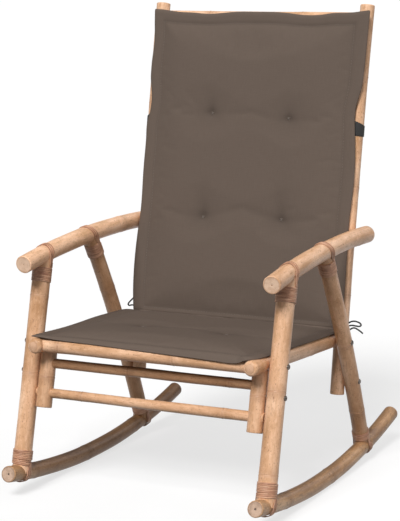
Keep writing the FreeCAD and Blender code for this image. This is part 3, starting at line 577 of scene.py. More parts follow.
def pole_mesh(name, line, radius, nodes, cuts, seed, tone, fade, material, crook, end_style):
    """A cane with ring-shaped nodes, waisted internodes, a slight crook and sawn ends where cuts says so."""
    rng = np.random.RandomState(seed)
    end_steps, bulge, pith, end_material = END_STYLES[end_style]
    line = np.asarray(line, float)
    runs = runs_of(line)
    length = runs[-1]
    stops = set(np.linspace(0, length, max(int(length / STOP_GAP), 8)))
    stops |= {node + step for node in nodes for step in NODE_STEPS}
    stops |= {step for step, _ in end_steps} | {length - step for step, _ in end_steps}
    stops = np.array(sorted(stop for stop in stops if 0.0 <= stop <= length))
    stops = stops[np.concatenate([[True], np.diff(stops) > STOP_NEAR])]
    stops[-1] = length
    centres = np.stack([np.interp(stops, runs, line[:, axis]) for axis in range(3)], axis=1)
    tangents = units(np.gradient(centres, stops, axis=0))
    first = unit(np.cross(tangents[0], (0.31, 0.53, 0.79)))
    sides = [first]
    for tangent in tangents[1:]:
        sides.append(unit(sides[-1] - tangent * (sides[-1] @ tangent)))
    sides = np.array(sides)
    ups = np.cross(tangents, sides)
    phases = rng.uniform(0, 2 * math.pi, 6)
    ease = np.sin(np.pi * stops / length)[:, None]
    waves = np.stack([np.sin(stops / 61.0 + phases[0]) + np.sin(stops / 33.0 + phases[1]),
                      np.sin(stops / 57.0 + phases[2]) + np.sin(stops / 29.0 + phases[3])],
                     axis=1) * crook / 2
    centres = centres + ease * (waves[:, :1] * sides + waves[:, 1:] * ups)
    angles = np.linspace(0, 2 * math.pi, POLE_SIDES, endpoint=False)
    along, angle = np.meshgrid(stops, angles, indexing="ij")
    swell = 0.25 * np.sin(along / 83.0 + phases[4]) + 0.18 * np.cos(2 * angle + along / 140.0 + phases[5])
    gaps = np.full_like(along, NODE_FAR)
    tones = np.full_like(along, tone + rng.uniform(-TONE_SPREAD, TONE_SPREAD))
    for node in nodes:
        skew = rng.uniform(0.3, 1.1) * np.cos(angle - rng.uniform(0, 2 * math.pi))
        gap = along - node - skew
        swell = swell + 0.35 * np.exp(-(gap / 9.0) ** 2) + 0.3 * np.exp(-((gap + 1.0) / 1.6) ** 2)
        swell = swell - 0.5 * np.exp(-((gap - 0.8) / 0.8) ** 2)
        gaps = np.where(np.abs(gap) < np.abs(gaps), gap, gaps)
        tones = np.where(gap > 0, tone + rng.uniform(-TONE_SPREAD, TONE_SPREAD), tones)
    fade_by, fade_from, fade_to = fade
    tones = tones + fade_by * (1 - smooth_step(fade_from, fade_to, along))
    radii = radius + swell - POLE_SLIM
    for step, drop in end_steps:
        if cuts[0]:
            radii = np.where(np.abs(along - step) < 0.05, radii - drop, radii)
        if cuts[1]:
            radii = np.where(np.abs(length - along - step) < 0.05, radii - drop, radii)
    spokes = np.cos(angle)[..., None] * sides[:, None, :] + np.sin(angle)[..., None] * ups[:, None, :]
    points = (centres[:, None, :] + radii[..., None] * spokes).reshape(-1, 3)
    offset = rng.uniform(0, 3000)
    local = np.stack([radii * np.cos(angle), radii * np.sin(angle), along + offset], axis=-1).reshape(-1, 3)
    rings = len(stops)
    ring_index = np.arange(rings * POLE_SIDES).reshape(rings, POLE_SIDES)
    faces = tube_quads(ring_index).tolist()
    kinds = [0] * len(faces)
    vertices = [points]
    locals_ = [local]
    gap_list = [np.abs(gaps).ravel()]
    radial_list = [np.ones(rings * POLE_SIDES)]
    count = rings * POLE_SIDES
    for end, turn in ((0, -1), (rings - 1, 1)):
        rim = ring_index[end]
        outline = radii[end]
        for share in CAP_SHARES:
            depth = turn * (bulge * (1 - share ** 2) + rng.uniform(-0.12, 0.12, POLE_SIDES) * share)
            ring = centres[end] + (outline * share)[:, None] * spokes[end] + depth[:, None] * tangents[end]
            vertices.append(ring)
            locals_.append(np.stack([outline * share * np.cos(angles), outline * share * np.sin(angles),
                                     np.full(POLE_SIDES, stops[end] + offset)], axis=1))
            gap_list.append(np.full(POLE_SIDES, NODE_FAR))
            radial_list.append(np.full(POLE_SIDES, share))
            inner = np.arange(count, count + POLE_SIDES)
            count += POLE_SIDES
            quads = np.stack([rim, np.roll(rim, -1), np.roll(inner, -1), inner], axis=1)
            faces += (quads[:, ::-1] if turn < 0 else quads).tolist()
            kinds += [1] * POLE_SIDES
            rim = inner
        vertices.append((centres[end] + turn * pith * tangents[end])[None, :])
        locals_.append(np.array([[0.0, 0.0, stops[end] + offset]]))
        gap_list.append(np.array([NODE_FAR]))
        radial_list.append(np.array([0.0]))
        tips = [[int(a), int(b), count] for a, b in zip(rim, np.roll(rim, -1))]
        faces += [tip[::-1] for tip in tips] if turn < 0 else tips
        kinds += [1] * POLE_SIDES
        count += 1
    total = np.concatenate(vertices)
    shades = np.full(len(total), tone)
    shades[:tones.size] = tones.ravel()
    return add_mesh(name, total, faces, [material, end_material], kinds, {
        "pole": np.concatenate(locals_) * MM,
        "node": np.concatenate(gap_list) * MM,
        "radial": np.concatenate(radial_list),
        "tone": shades,
    })


POLES = []


def pole(node, line, radius, nodes, cuts=(False, False), tone=0.0, material=BAMBOO, slot="bamboo",
         crook=CROOK, end_style="sawn", fade=NO_FADE):
    seed = FIRST_SEED + SEED_STEP * len(POLES)
    obj = pole_mesh(node + "_cane", line, radius, nodes, cuts, seed, tone, fade, material, crook, end_style)
    take_place(obj, "chair", [node])
    POLES.append(obj)


SIDE_NODES = {
    "left": {"rocker": (96.0, 312.0, 530.0), "armrest": (404.0,), "front_leg": (200.0, 357.7),
             "rear_leg": (150.0, 366.8), "side_rail": (150.0, 372.0), "front_post": (62.0,),
             "back_upright": (120.0, 352.0, 598.0)},
    "right": {"rocker": (139.0, 372.0, 590.0), "armrest": (446.0,), "front_leg": (60.0, 216.1),
              "rear_leg": (96.0, 273.9), "side_rail": (38.3, 292.9), "front_post": (70.0,),
              "back_upright": (210.0, 436.0, 668.0)},
}
# Tones per piece: the high tones of the left armrest and the right back upright are painted light that
# brightens them, and the left rear leg's low tone is partly painted shade
SIDE_TONES = {
    "left": {"rocker": -0.9, "armrest": 0.9, "front_leg": 0.25, "rear_leg": -0.25, "side_rail": 0.1,
             "front_post": 0.0, "back_upright": 0.4},
    "right": {"rocker": 0.3, "armrest": 0.45, "front_leg": 0.5, "rear_leg": 0.1, "side_rail": 0.3,
              "front_post": 0.0, "back_upright": 0.6},
}
# Tone ramps from each pole's start: the rear legs darken towards the foot as painted shade from the seat
# above them, and the rockers lighten towards their front ends
SIDE_FADES = {
    "left": {"rocker": (1.5, 55.0, 150.0), "rear_leg": (-0.3, 120.0, 330.0)},
    "right": {"rocker": (0.7, 50.0, 130.0), "rear_leg": (-0.75, 120.0, 330.0)},
}
SIDE_CROOKS = {"front_leg": 0.1, "front_post": 0.1}
SIDE_ENDS = {"rocker": "pithy", "side_rail": "round"}
BOTH = (True, True)
START = (True, False)

for side_name, side in SIDES:
    places = SIDE_NODES[side_name]
    frame_x = side * FRAME_X
    lines = {
        "rocker": (height_line(frame_x, ROCKER_YS, rocker_z), ROCKER_R - ROCKER_SLIM, BOTH),
        "armrest": (height_line(frame_x, ARM_YS, arm_z), ARM_R, BOTH),
        "front_leg": (straight(front_leg_at(frame_x, rocker_z(FRONT_LEG_YS[0])),
                               front_leg_at(frame_x, arm_z(FRONT_LEG_YS[1]))), FRONT_LEG_R, (False, False)),
        "rear_leg": (rear_leg_line(side), REAR_LEG_R, (False, False)),
        "side_rail": (straight(seat_at(side * RAIL_X, 0, 0), seat_at(side * RAIL_X, RAIL_REAR_ALONG, 0)),
                      SIDE_RAIL_R, START),
        "front_post": (straight(front_leg_at(side * POST_X, POST_BOTTOM_Z),
                                front_leg_at(side * POST_X, POST_TOP_Z)),
                       POST_R + POST_FULL, START),
        "back_upright": (upright_line(side), UPRIGHT_R, BOTH),
    }
    for piece, (line, radius, cuts) in lines.items():
        is_rocker = piece == "rocker"
        pole("%s_%s" % (side_name, piece), line, radius, places[piece], cuts, SIDE_TONES[side_name][piece],
             ROCKER_BAMBOO if is_rocker else BAMBOO, "rocker_bamboo" if is_rocker else "bamboo",
             SIDE_CROOKS.get(piece, CROOK), SIDE_ENDS.get(piece, "sawn"),
             SIDE_FADES[side_name].get(piece, NO_FADE))

pole("front_seat_rail", straight(seat_at(-RAIL_X, FRONT_RAIL_ALONG, 0), seat_at(RAIL_X, FRONT_RAIL_ALONG, 0)),
     SEAT_RAIL_R, (46.5, 300.0), tone=0.25)
pole("rear_seat_rail", straight(seat_at(-RAIL_X, REAR_RAIL_ALONG, 0), seat_at(RAIL_X, REAR_RAIL_ALONG, 0)),
     SEAT_RAIL_R, (132.0, 351.0), tone=-0.1)
# painted shade: the lowest tone darkens the upper stretcher, which the seat's front edge shades
pole("upper_stretcher", straight(front_leg_at(-POST_X, UPPER_STRETCHER_Z),
                                 front_leg_at(POST_X, UPPER_STRETCHER_Z)),
     STRETCHER_R, (184.0, 402.0), tone=-1.0)
lower_reach = POST_X + POST_R + STRETCHER_POKE
pole("lower_stretcher", straight(front_leg_at(-lower_reach, LOWER_STRETCHER_Z),
                                 front_leg_at(lower_reach, LOWER_STRETCHER_Z)),
     STRETCHER_R, (103.5, 411.2), BOTH, tone=0.0)
top_ends = [upright_at_z(side, TOP_RAIL_Z) for _, side in SIDES]
low_ends = [upright_at_z(side, BACK_RAIL_Z) for _, side in SIDES]
pole("top_rail", straight(*top_ends), TOP_RAIL_R, (118.0, 334.0), tone=0.4)
pole("lower_back_rail", straight(*low_ends), BACK_RAIL_R, (160.0, 372.0), tone=0.0)
for number, x in enumerate(SEAT_SLAT_XS, 1):
    pole("seat_slat_%d" % number,
         straight(seat_at(x, FRONT_RAIL_ALONG, SEAT_SLAT_LIFT), seat_at(x, REAR_RAIL_ALONG, SEAT_SLAT_LIFT)),
         SEAT_SLAT_R, (70.0 + 37.0 * (number % 3), 236.0 + 29.0 * (number % 4)),
         tone=0.25 * math.sin(number * 2.4), material=SLAT_BAMBOO, slot="slat_bamboo", crook=0.2)
for number, x in enumerate(BACK_SLAT_XS, 1):
    pole("back_slat_%d" % number,
         straight((x, *low_ends[0][1:]), (x, *top_ends[0][1:])),
         BACK_SLAT_R, (110.0 + 41.0 * (number % 3), 330.0 + 31.0 * (number % 4), 520.0),
         tone=0.25 * math.sin(number * 1.9), material=SLAT_BAMBOO, slot="slat_bamboo")

# Rattan bindings: one flat strand each, saddle loops over the host pole, then turns round the leg
STRAND_PITCH = 3.2
STRAND_WIDTH = 3.3
STRAND_THICK = 1.5
STRAND_LIFT = 0.3
SADDLE_LIFT = 0.4
SADDLE_SPREAD = 6.0
STRAND_BEND = 3.2
SADDLE_LOOPS = 3
STRAND_SECTION = ((-0.5, -0.25), (-0.42, -0.5), (0.0, -0.5), (0.42, -0.5), (0.5, -0.25), (0.46, 0.1),
                  (0.32, 0.38), (0.12, 0.5), (-0.12, 0.5), (-0.32, 0.38), (-0.46, 0.1))
STRAND_STEP = 1.5
STRAND_SEED = 90


def strand_line(stations):
    """Smooth points and outward normals through stations of point, direction and normal."""
    points = []
    normals = []
    for (start, way, out), (end, next_way, next_out) in zip(stations, stations[1:]):
        chord = np.linalg.norm(end - start)
        bend = math.acos(max(-1.0, min(1.0, float(way @ next_way))))
        pull = chord if bend < 1e-4 else chord * 2 * math.tan(bend / 4) / math.sin(bend / 2)
        pieces = max(2, int(round(chord / STRAND_STEP)))
        for step in range(pieces):
            t = step / pieces
            h00 = 2 * t ** 3 - 3 * t ** 2 + 1
            h10 = t ** 3 - 2 * t ** 2 + t
            h01 = -2 * t ** 3 + 3 * t ** 2
            h11 = t ** 3 - t ** 2
            points.append(h00 * start + h10 * pull * way + h01 * end + h11 * pull * next_way)
            normals.append(unit(out * (1 - t) + next_out * t))
    points.append(stations[-1][0])
    normals.append(stations[-1][2])
    return np.array(points), np.array(normals)


def strand_stations(start, way, leg_x, leg_radius, host_radius, host_way, turns):
    tilt = float(host_way @ way)
    wide = host_way * (-1 if tilt > 0 else 1)
    ahead = unit(wide - way * (wide @ way))
    slant = abs(tilt) / math.sqrt(1 - tilt ** 2)
    leg_reach = leg_radius + STRAND_LIFT + STRAND_THICK / 2
    host_reach = host_radius + SADDLE_LIFT + STRAND_THICK / 2
    host_rise = host_reach * math.hypot(1, slant)
    host_u = FRAME_X - leg_x
    outer_reach = max(host_reach + host_u, leg_reach)
    inner_reach = max(host_reach - host_u, leg_reach)
    narrow_w = host_rise + leg_reach * slant
    wide_w = host_rise - leg_reach * slant
    first_w = max(narrow_w - SADDLE_LOOPS * STRAND_PITCH, wide_w)
    half_slope = STRAND_PITCH / (math.pi * leg_reach)

    def vector(u, v, w):
        return X_AXIS * u + ahead * v + way * w

    stations = []

    def station(place, direction, normal):
        stations.append((start + vector(*place), unit(vector(*direction)), unit(vector(*normal))))

    for loop in range(SADDLE_LOOPS):
        v = STRAND_PITCH * ((SADDLE_LOOPS - 1) / 2 - loop)
        w = first_w + STRAND_PITCH * loop
        host_v = SADDLE_SPREAD * ((SADDLE_LOOPS - 1) / 2 - loop)
        host_w = -host_v * slant
        station((leg_reach, v, w - STRAND_BEND), (0, 0, -1), (1, 0, 0))
        station((outer_reach, host_v, host_w), (0, 0, -1), (1, 0, 0))
        station(((outer_reach - inner_reach) / 2, host_v, host_w - host_rise), (-1, 0, 0), (0, 0, -1))
        station((-inner_reach, host_v, host_w), (0, 0, 1), (-1, 0, 0))
        station((-leg_reach, v, w - STRAND_BEND), (0, 0, 1), (-1, 0, 0))
        turn = math.asin((v + STRAND_BEND) / leg_reach)
        station((-leg_reach * math.cos(turn), leg_reach * math.sin(turn), w),
                (math.sin(turn), math.cos(turn), half_slope), (-math.cos(turn), math.sin(turn), 0))
        station((0, leg_reach, w + STRAND_PITCH / 2), (1, 0, half_slope), (0, 1, 0))
        if loop < SADDLE_LOOPS - 1:
            turn = math.asin((v - STRAND_PITCH + STRAND_BEND) / leg_reach)
            station((leg_reach * math.cos(turn), leg_reach * math.sin(turn), w + STRAND_PITCH),
                    (math.sin(turn), -math.cos(turn), half_slope), (math.cos(turn), math.sin(turn), 0))
    turns_w = first_w + STRAND_PITCH * SADDLE_LOOPS
    for quarter in range(turns * 4 + 1):
        angle = math.radians(-90 * quarter)
        station((leg_reach * math.cos(angle), leg_reach * math.sin(angle),
                 turns_w + STRAND_PITCH * quarter / 4),
                (math.sin(angle), -math.cos(angle), half_slope / 2), (math.cos(angle), math.sin(angle), 0))
    return stations


def strand_mesh(name, points, normals, seed, mirror):
    rng = np.random.RandomState(seed)
    tangents = units(np.gradient(points, axis=0))
    normals = units(normals - tangents * np.sum(normals * tangents, axis=1)[:, None])
    across = np.cross(tangents, normals)
    run = runs_of(points)
    ease = np.clip(np.minimum(run, run[-1] - run) / 5.0, 0.15, 1.0)
    width = STRAND_WIDTH * ease * (1 + 0.05 * np.sin(run / 23.0 + rng.uniform(0, 6)))
    thick = STRAND_THICK * np.sqrt(ease) * (1 + 0.06 * np.sin(run / 17.0 + rng.uniform(0, 6)))
    section = np.array(STRAND_SECTION)
    count = len(section)
    rings = (points[:, None, :] + across[:, None, :] * (section[:, 0] * width[:, None])[..., None]
             + normals[:, None, :] * (section[:, 1] * thick[:, None])[..., None])
    local = np.stack([np.broadcast_to(section[:, 0], width[:, None].shape[:1] + (count,)) * STRAND_WIDTH,
                      np.broadcast_to(section[:, 1], (len(run), count)) * STRAND_THICK,
                      np.broadcast_to(run[:, None], (len(run), count)) + rng.uniform(0, 900)], axis=-1)
    index = np.arange(len(run) * count).reshape(len(run), count)
    faces = tube_quads(index, False).tolist() + [index[0].tolist(), index[-1][::-1].tolist()]
    vertices = rings.reshape(-1, 3)
    if mirror:
        vertices = vertices * np.array([-1.0, 1.0, 1.0])
        faces = [face[::-1] for face in faces]
    return add_mesh(name, vertices, faces, [RATTAN], None, {"pole": local.reshape(-1, 3) * MM})


def slope_way(y, height):
    return unit(np.array([0.0, 2.0, height(y + 1.0) - height(y - 1.0)]))


rear_line = rear_leg_line(1)
rear_run = runs_of(rear_line)


def rear_leg_at(run):
    return point_at(run, rear_run, rear_line)


near = REAR_LEG_R + ROCKER_R
front_foot = front_leg_at(FRAME_X, rocker_z(FRONT_LEG_YS[0]))
front_head = front_leg_at(FRAME_X, arm_z(FRONT_LEG_YS[1]))
front_way = unit(front_head - front_foot)
foot_near, foot_far = rear_leg_at(near), rear_leg_at(2 * near)
head_near, head_far = rear_leg_at(rear_run[-1] - near), rear_leg_at(rear_run[-1] - 2 * near)
BINDINGS = {
    "front_rocker": (front_foot, front_way, FRAME_X, FRONT_LEG_R, ROCKER_R,
                     slope_way(FRONT_LEG_YS[0], rocker_z), 6),
    "front_arm": (front_head, -front_way, FRAME_X, FRONT_LEG_R, ARM_R, slope_way(FRONT_LEG_YS[1], arm_z), 9),
    "rear_rocker": (foot_near * 2 - foot_far, unit(foot_far - foot_near), REAR_LEG_X, REAR_LEG_R, ROCKER_R,
                    slope_way(REAR_LEG_YS[0], rocker_z), 5),
    "rear_arm": (head_near * 2 - head_far, unit(head_far - head_near), REAR_LEG_X, REAR_LEG_R, ARM_R,
                 slope_way(REAR_LEG_YS[1], arm_z), 7),
}
for number, (place, values) in enumerate(BINDINGS.items()):
    strand_points, strand_normals = strand_line(strand_stations(*values))
    for side_name, side in SIDES:
        strand = strand_mesh("%s_%s_strand" % (side_name, place), strand_points, strand_normals,
                             STRAND_SEED + number * 2 + side, side < 0)
        take_place(strand, "chair", ["%s_%s_binding" % (side_name, place)])

# Pad: each panel is a cover sewn to a flat backing along a seam, with tufts pulled through
PAD_HALF = 245.0
FLANGE = 26.0
FLANGE_THICK = 5.0
FOLD_FLAT = 10.0
FOLD_GAP = 0.3
SEAM_DIP = 1.4
CLOTH_CELL = 5.2
TUFT_REACH = 26.0
# tuft and crease depth at which their painted shade is full
CREASE_SHADE_FULL = 13.0
SIM_FRAMES = 22
SIM_CAP = 2.5
TUFT_HOLD = 4.5
# strength of the painted shade along the seam
SEAM_SHADE = 0.12
RIM_TOP = -1.3
RIM_UNDER = -3.7
LIP = 0.9
SAG = 1.4
SLAT_PITCH = 60.0
SLACK = 0.1
SEAT_PANEL = {
    "length": 447.0, "crown": 11.0, "along": SEAT_AHEAD, "face": SEAT_UP,
    "tufts": ((-92.0, 245.0), (92.0, 245.0)), "tuft_depth": 6.0,
    "creases": ((0, 4, 46, 1.3, 6), (0, 178, 30, 1.2, 6), (0, 92, 26, 1.0, 8),
                (1, 8, 40, 1.3, 6), (1, 184, 44, 1.2, 6), (1, 88, 26, 1.0, 8)),
    "left_in": ((0, 0), (0.3, 0.5), (0.6, 1), (0.93, 0), (1, 0)),
    "right_in": ((0, 0), (0.35, 2), (0.7, 3), (0.88, 4), (0.94, 7), (0.975, 13), (1, 23)),
    "end_in": ((-1, 14), (-0.9, 17), (-0.8, 19), (-0.7, 20), (-0.5, 19.5), (-0.3, 18), (0, 16), (0.25, 14),
               (0.5, 12), (0.8, 11), (0.9, 10), (1, 7)),
    "end_fall": ((-1, 0), (-0.9, 1), (-0.8, 3.2), (-0.7, 4.3), (-0.5, 5), (-0.3, 6), (-0.15, 7), (0, 7.7),
                 (0.25, 9), (0.5, 10.1), (0.65, 11.2), (0.8, 12), (0.9, 10), (1, 1.5)),
    "left_rise": ((0, 0), (0.025, 2.6), (0.05, 5), (0.1, 8), (0.2, 8.5), (0.4, 7), (0.55, 3.5), (0.7, 1),
                  (1, 0)),
    "side_fall": 2.4,
}
BACK_PANEL = {
    "length": 663.0, "crown": 11.0, "along": BACK_RISE, "face": BACK_FRONT,
    "tufts": ((-87.5, 216.0), (93.5, 217.0), (-86.0, 439.0), (94.0, 431.0)), "tuft_depth": 6.0,
    "creases": ((0, 180, 40, 1.4, 8), (0, 92, 62, 1.4, 11), (0, 218, 24, 1.0, 7), (0, 14, 52, 0.8, 6),
                (1, 2, 42, 1.6, 6), (1, 92, 72, 1.6, 10), (1, 166, 72, 1.4, 6), (1, 322, 20, 0.8, 6),
                (2, 0, 32, 1.2, 6), (2, 180, 24, 1.2, 6), (2, 90, 32, 1.2, 7),
                (3, 0, 40, 1.4, 6), (3, 180, 32, 1.2, 6), (3, 94, 24, 1.0, 7)),
    "left_in": ((0, 0), (0.06, -4), (0.15, -6), (0.26, -3.2), (0.32, 0), (0.48, 0), (0.57, 1), (0.62, 0.6),
                (0.66, 6), (0.7, 8), (0.735, 5.5), (0.77, 2), (0.81, 1.5), (0.9, 4.5), (0.96, 1.5), (1, 0)),
    "right_in": ((0, 0), (0.2, 1), (0.36, 1.5), (0.4, 0), (0.51, -1.5), (0.57, 1), (0.62, 4), (0.665, 6.5),
                 (0.695, 6), (0.725, 1.5), (0.76, -4), (0.82, -6.8), (0.9, -8.5), (0.96, -9.5), (1, -10.5)),
    "end_in": ((-1, 0), (-0.9, 2.2), (-0.78, 6), (-0.6, 8), (-0.46, 10), (-0.34, 8), (-0.2, 5), (0, 4.6),
               (0.12, 4.4), (0.3, 6.5), (0.42, 10), (0.58, 9.8), (0.7, 5.5), (0.85, 4), (1, -1.5)),
    "end_fall": ((-1, 0), (1, 0)),
    "left_rise": ((0, 0), (1, 0)),
    "side_fall": 0.0,
}
RAIL_EDGE = 231.0
FALL_FROM = 24.0
CORNER_FALL_FROM = 7.0


def eased(points, at):
    """Smooth values through control points."""
    xs, ys = np.array(points, float).T
    slopes = np.gradient(ys, xs)
    cell = np.clip(np.searchsorted(xs, at, side="right") - 1, 0, len(xs) - 2)
    width = xs[cell + 1] - xs[cell]
    t = (at - xs[cell]) / width
    return ((2 * t ** 3 - 3 * t ** 2 + 1) * ys[cell] + (t ** 3 - 2 * t ** 2 + t) * width * slopes[cell]
            + (3 * t ** 2 - 2 * t ** 3) * ys[cell + 1] + (t ** 3 - t ** 2) * width * slopes[cell + 1])


def flat_grid(panel):
    """Places of the cover's threads, across and along, with a grid line on every seam."""
    length = panel["length"]
    core = 2 * (PAD_HALF - FLANGE)
    edge = np.linspace(-PAD_HALF, FLANGE - PAD_HALF, 6)
    across = np.concatenate([edge[:-1], np.linspace(-core / 2, core / 2, int(core / CLOTH_CELL) + 1),
                             -edge[::-1][1:]])
    run = length - FLANGE - FOLD_FLAT
    along = np.concatenate([np.linspace(FOLD_GAP, FOLD_FLAT, 3)[:-1],
                            np.linspace(FOLD_FLAT, length - FLANGE, int(run / CLOTH_CELL) + 1),
                            np.linspace(length - FLANGE, length, 6)[1:]])
    return np.meshgrid(across, along)


def warped(panel, x, a):
    """Draws the sides and the free end in as the sewn edges pucker."""
    length = panel["length"]
    share = np.clip(a / length, 0, 1)
    p = x / PAD_HALF
    pull = np.where(p < 0, eased(panel["left_in"], share), -eased(panel["right_in"], share))
    return x + pull * np.abs(p) ** 5, a - eased(panel["end_in"], p) * share ** 9


def edge_shift(panel, x, a):
    """How the soft edges hang over the poles under them, or stand up beside them."""
    length = panel["length"]
    p = x / PAD_HALF
    fall_run = FALL_FROM + (CORNER_FALL_FROM - FALL_FROM) * smooth_step(0.86, 0.92, np.abs(p))
    end_share = np.clip((a - length + fall_run) / fall_run, 0, 1)
    side_share = np.clip((x - RAIL_EDGE) / (PAD_HALF - RAIL_EDGE), 0, 1)
    rise = np.where(p < 0, eased(panel["left_rise"], np.clip(a / length, 0, 1)) * p ** 4, 0)
    return rise - eased(panel["end_fall"], p) * end_share ** 3 - panel["side_fall"] * side_share ** 2


def cover_height(panel, x, a):
    """Height of the loose cover over the flange: a flat-topped crown with tufts and creases."""
    length = panel["length"]
    sx = np.clip(np.abs(x) / (PAD_HALF - FLANGE), 0, 1)
    sa = np.clip(np.abs(2 * (a - FOLD_FLAT) / (length - FLANGE - FOLD_FLAT) - 1), 0, 1)
    height = panel["crown"] * (1 - sx ** 5) * (1 - sa ** 9)
    depth = np.zeros_like(height)
    for tx, ta in panel["tufts"]:
        gap = np.hypot(x - tx, a - ta)
        depth = depth + panel["tuft_depth"] * (0.6 * np.exp(-(gap / 8.0) ** 2)
                                               + 0.4 * np.exp(-(gap / TUFT_REACH) ** 2))
    for tuft, degrees, reach, deep, half in panel["creases"]:
        tx, ta = panel["tufts"][tuft]
        way = (math.cos(math.radians(degrees)), math.sin(math.radians(degrees)))
        run = (x - tx) * way[0] + (a - ta) * way[1]
        off = (a - ta) * way[0] - (x - tx) * way[1]
        wide = half + 0.08 * np.abs(run)
        depth = depth + np.where(run > 0, deep * np.exp(-(off / wide) ** 2) * np.exp(-(run / reach) ** 2)
                                 * np.clip(run / 8.0, 0, 1), 0)
    return height, depth


def settle(name, points, normals_up, held):
    """Lets the cover settle as cloth: held points stay, the rest puffs up and puckers."""
    rows, columns = held.shape
    index = np.arange(rows * columns).reshape(rows, columns)
    faces = sheet_quads(index)
    if normals_up < 0:
        faces = faces[:, ::-1]
    cloth = add_mesh(name, points.reshape(-1, 3), faces.tolist(), [])
    group = cloth.vertex_groups.new(name="held")
    group.add([int(i) for i in index[held]], 1.0, "REPLACE")
    modifier = cloth.modifiers.new("cloth", "CLOTH")
    settings = modifier.settings
    settings.quality = 6
    settings.mass = 0.25
    settings.tension_stiffness = 18.0
    settings.compression_stiffness = 18.0
    settings.shear_stiffness = 6.0
    settings.bending_stiffness = 0.6
    settings.shrink_min = -0.001
    settings.use_pressure = True
    settings.uniform_pressure_force = 1.0
    settings.vertex_group_mass = "held"
    settings.effector_weights.gravity = 0.0
    modifier.collision_settings.use_collision = False
    scene = bpy.context.scene
    modifier.point_cache.frame_start = 1
    modifier.point_cache.frame_end = SIM_FRAMES
    for step in range(1, SIM_FRAMES + 1):
        scene.frame_set(step)
    settled = cloth.evaluated_get(bpy.context.evaluated_depsgraph_get()).to_mesh()
    result = np.zeros(len(settled.vertices) * 3)
    settled.vertices.foreach_get("co", result)
    scene.frame_set(1)
    drop(cloth)
    moved = result.reshape(rows, columns, 3) / MM - points
    reach = np.linalg.norm(moved, axis=2, keepdims=True)
    return points + moved * np.minimum(1.0, SIM_CAP / np.maximum(reach, 1e-6))


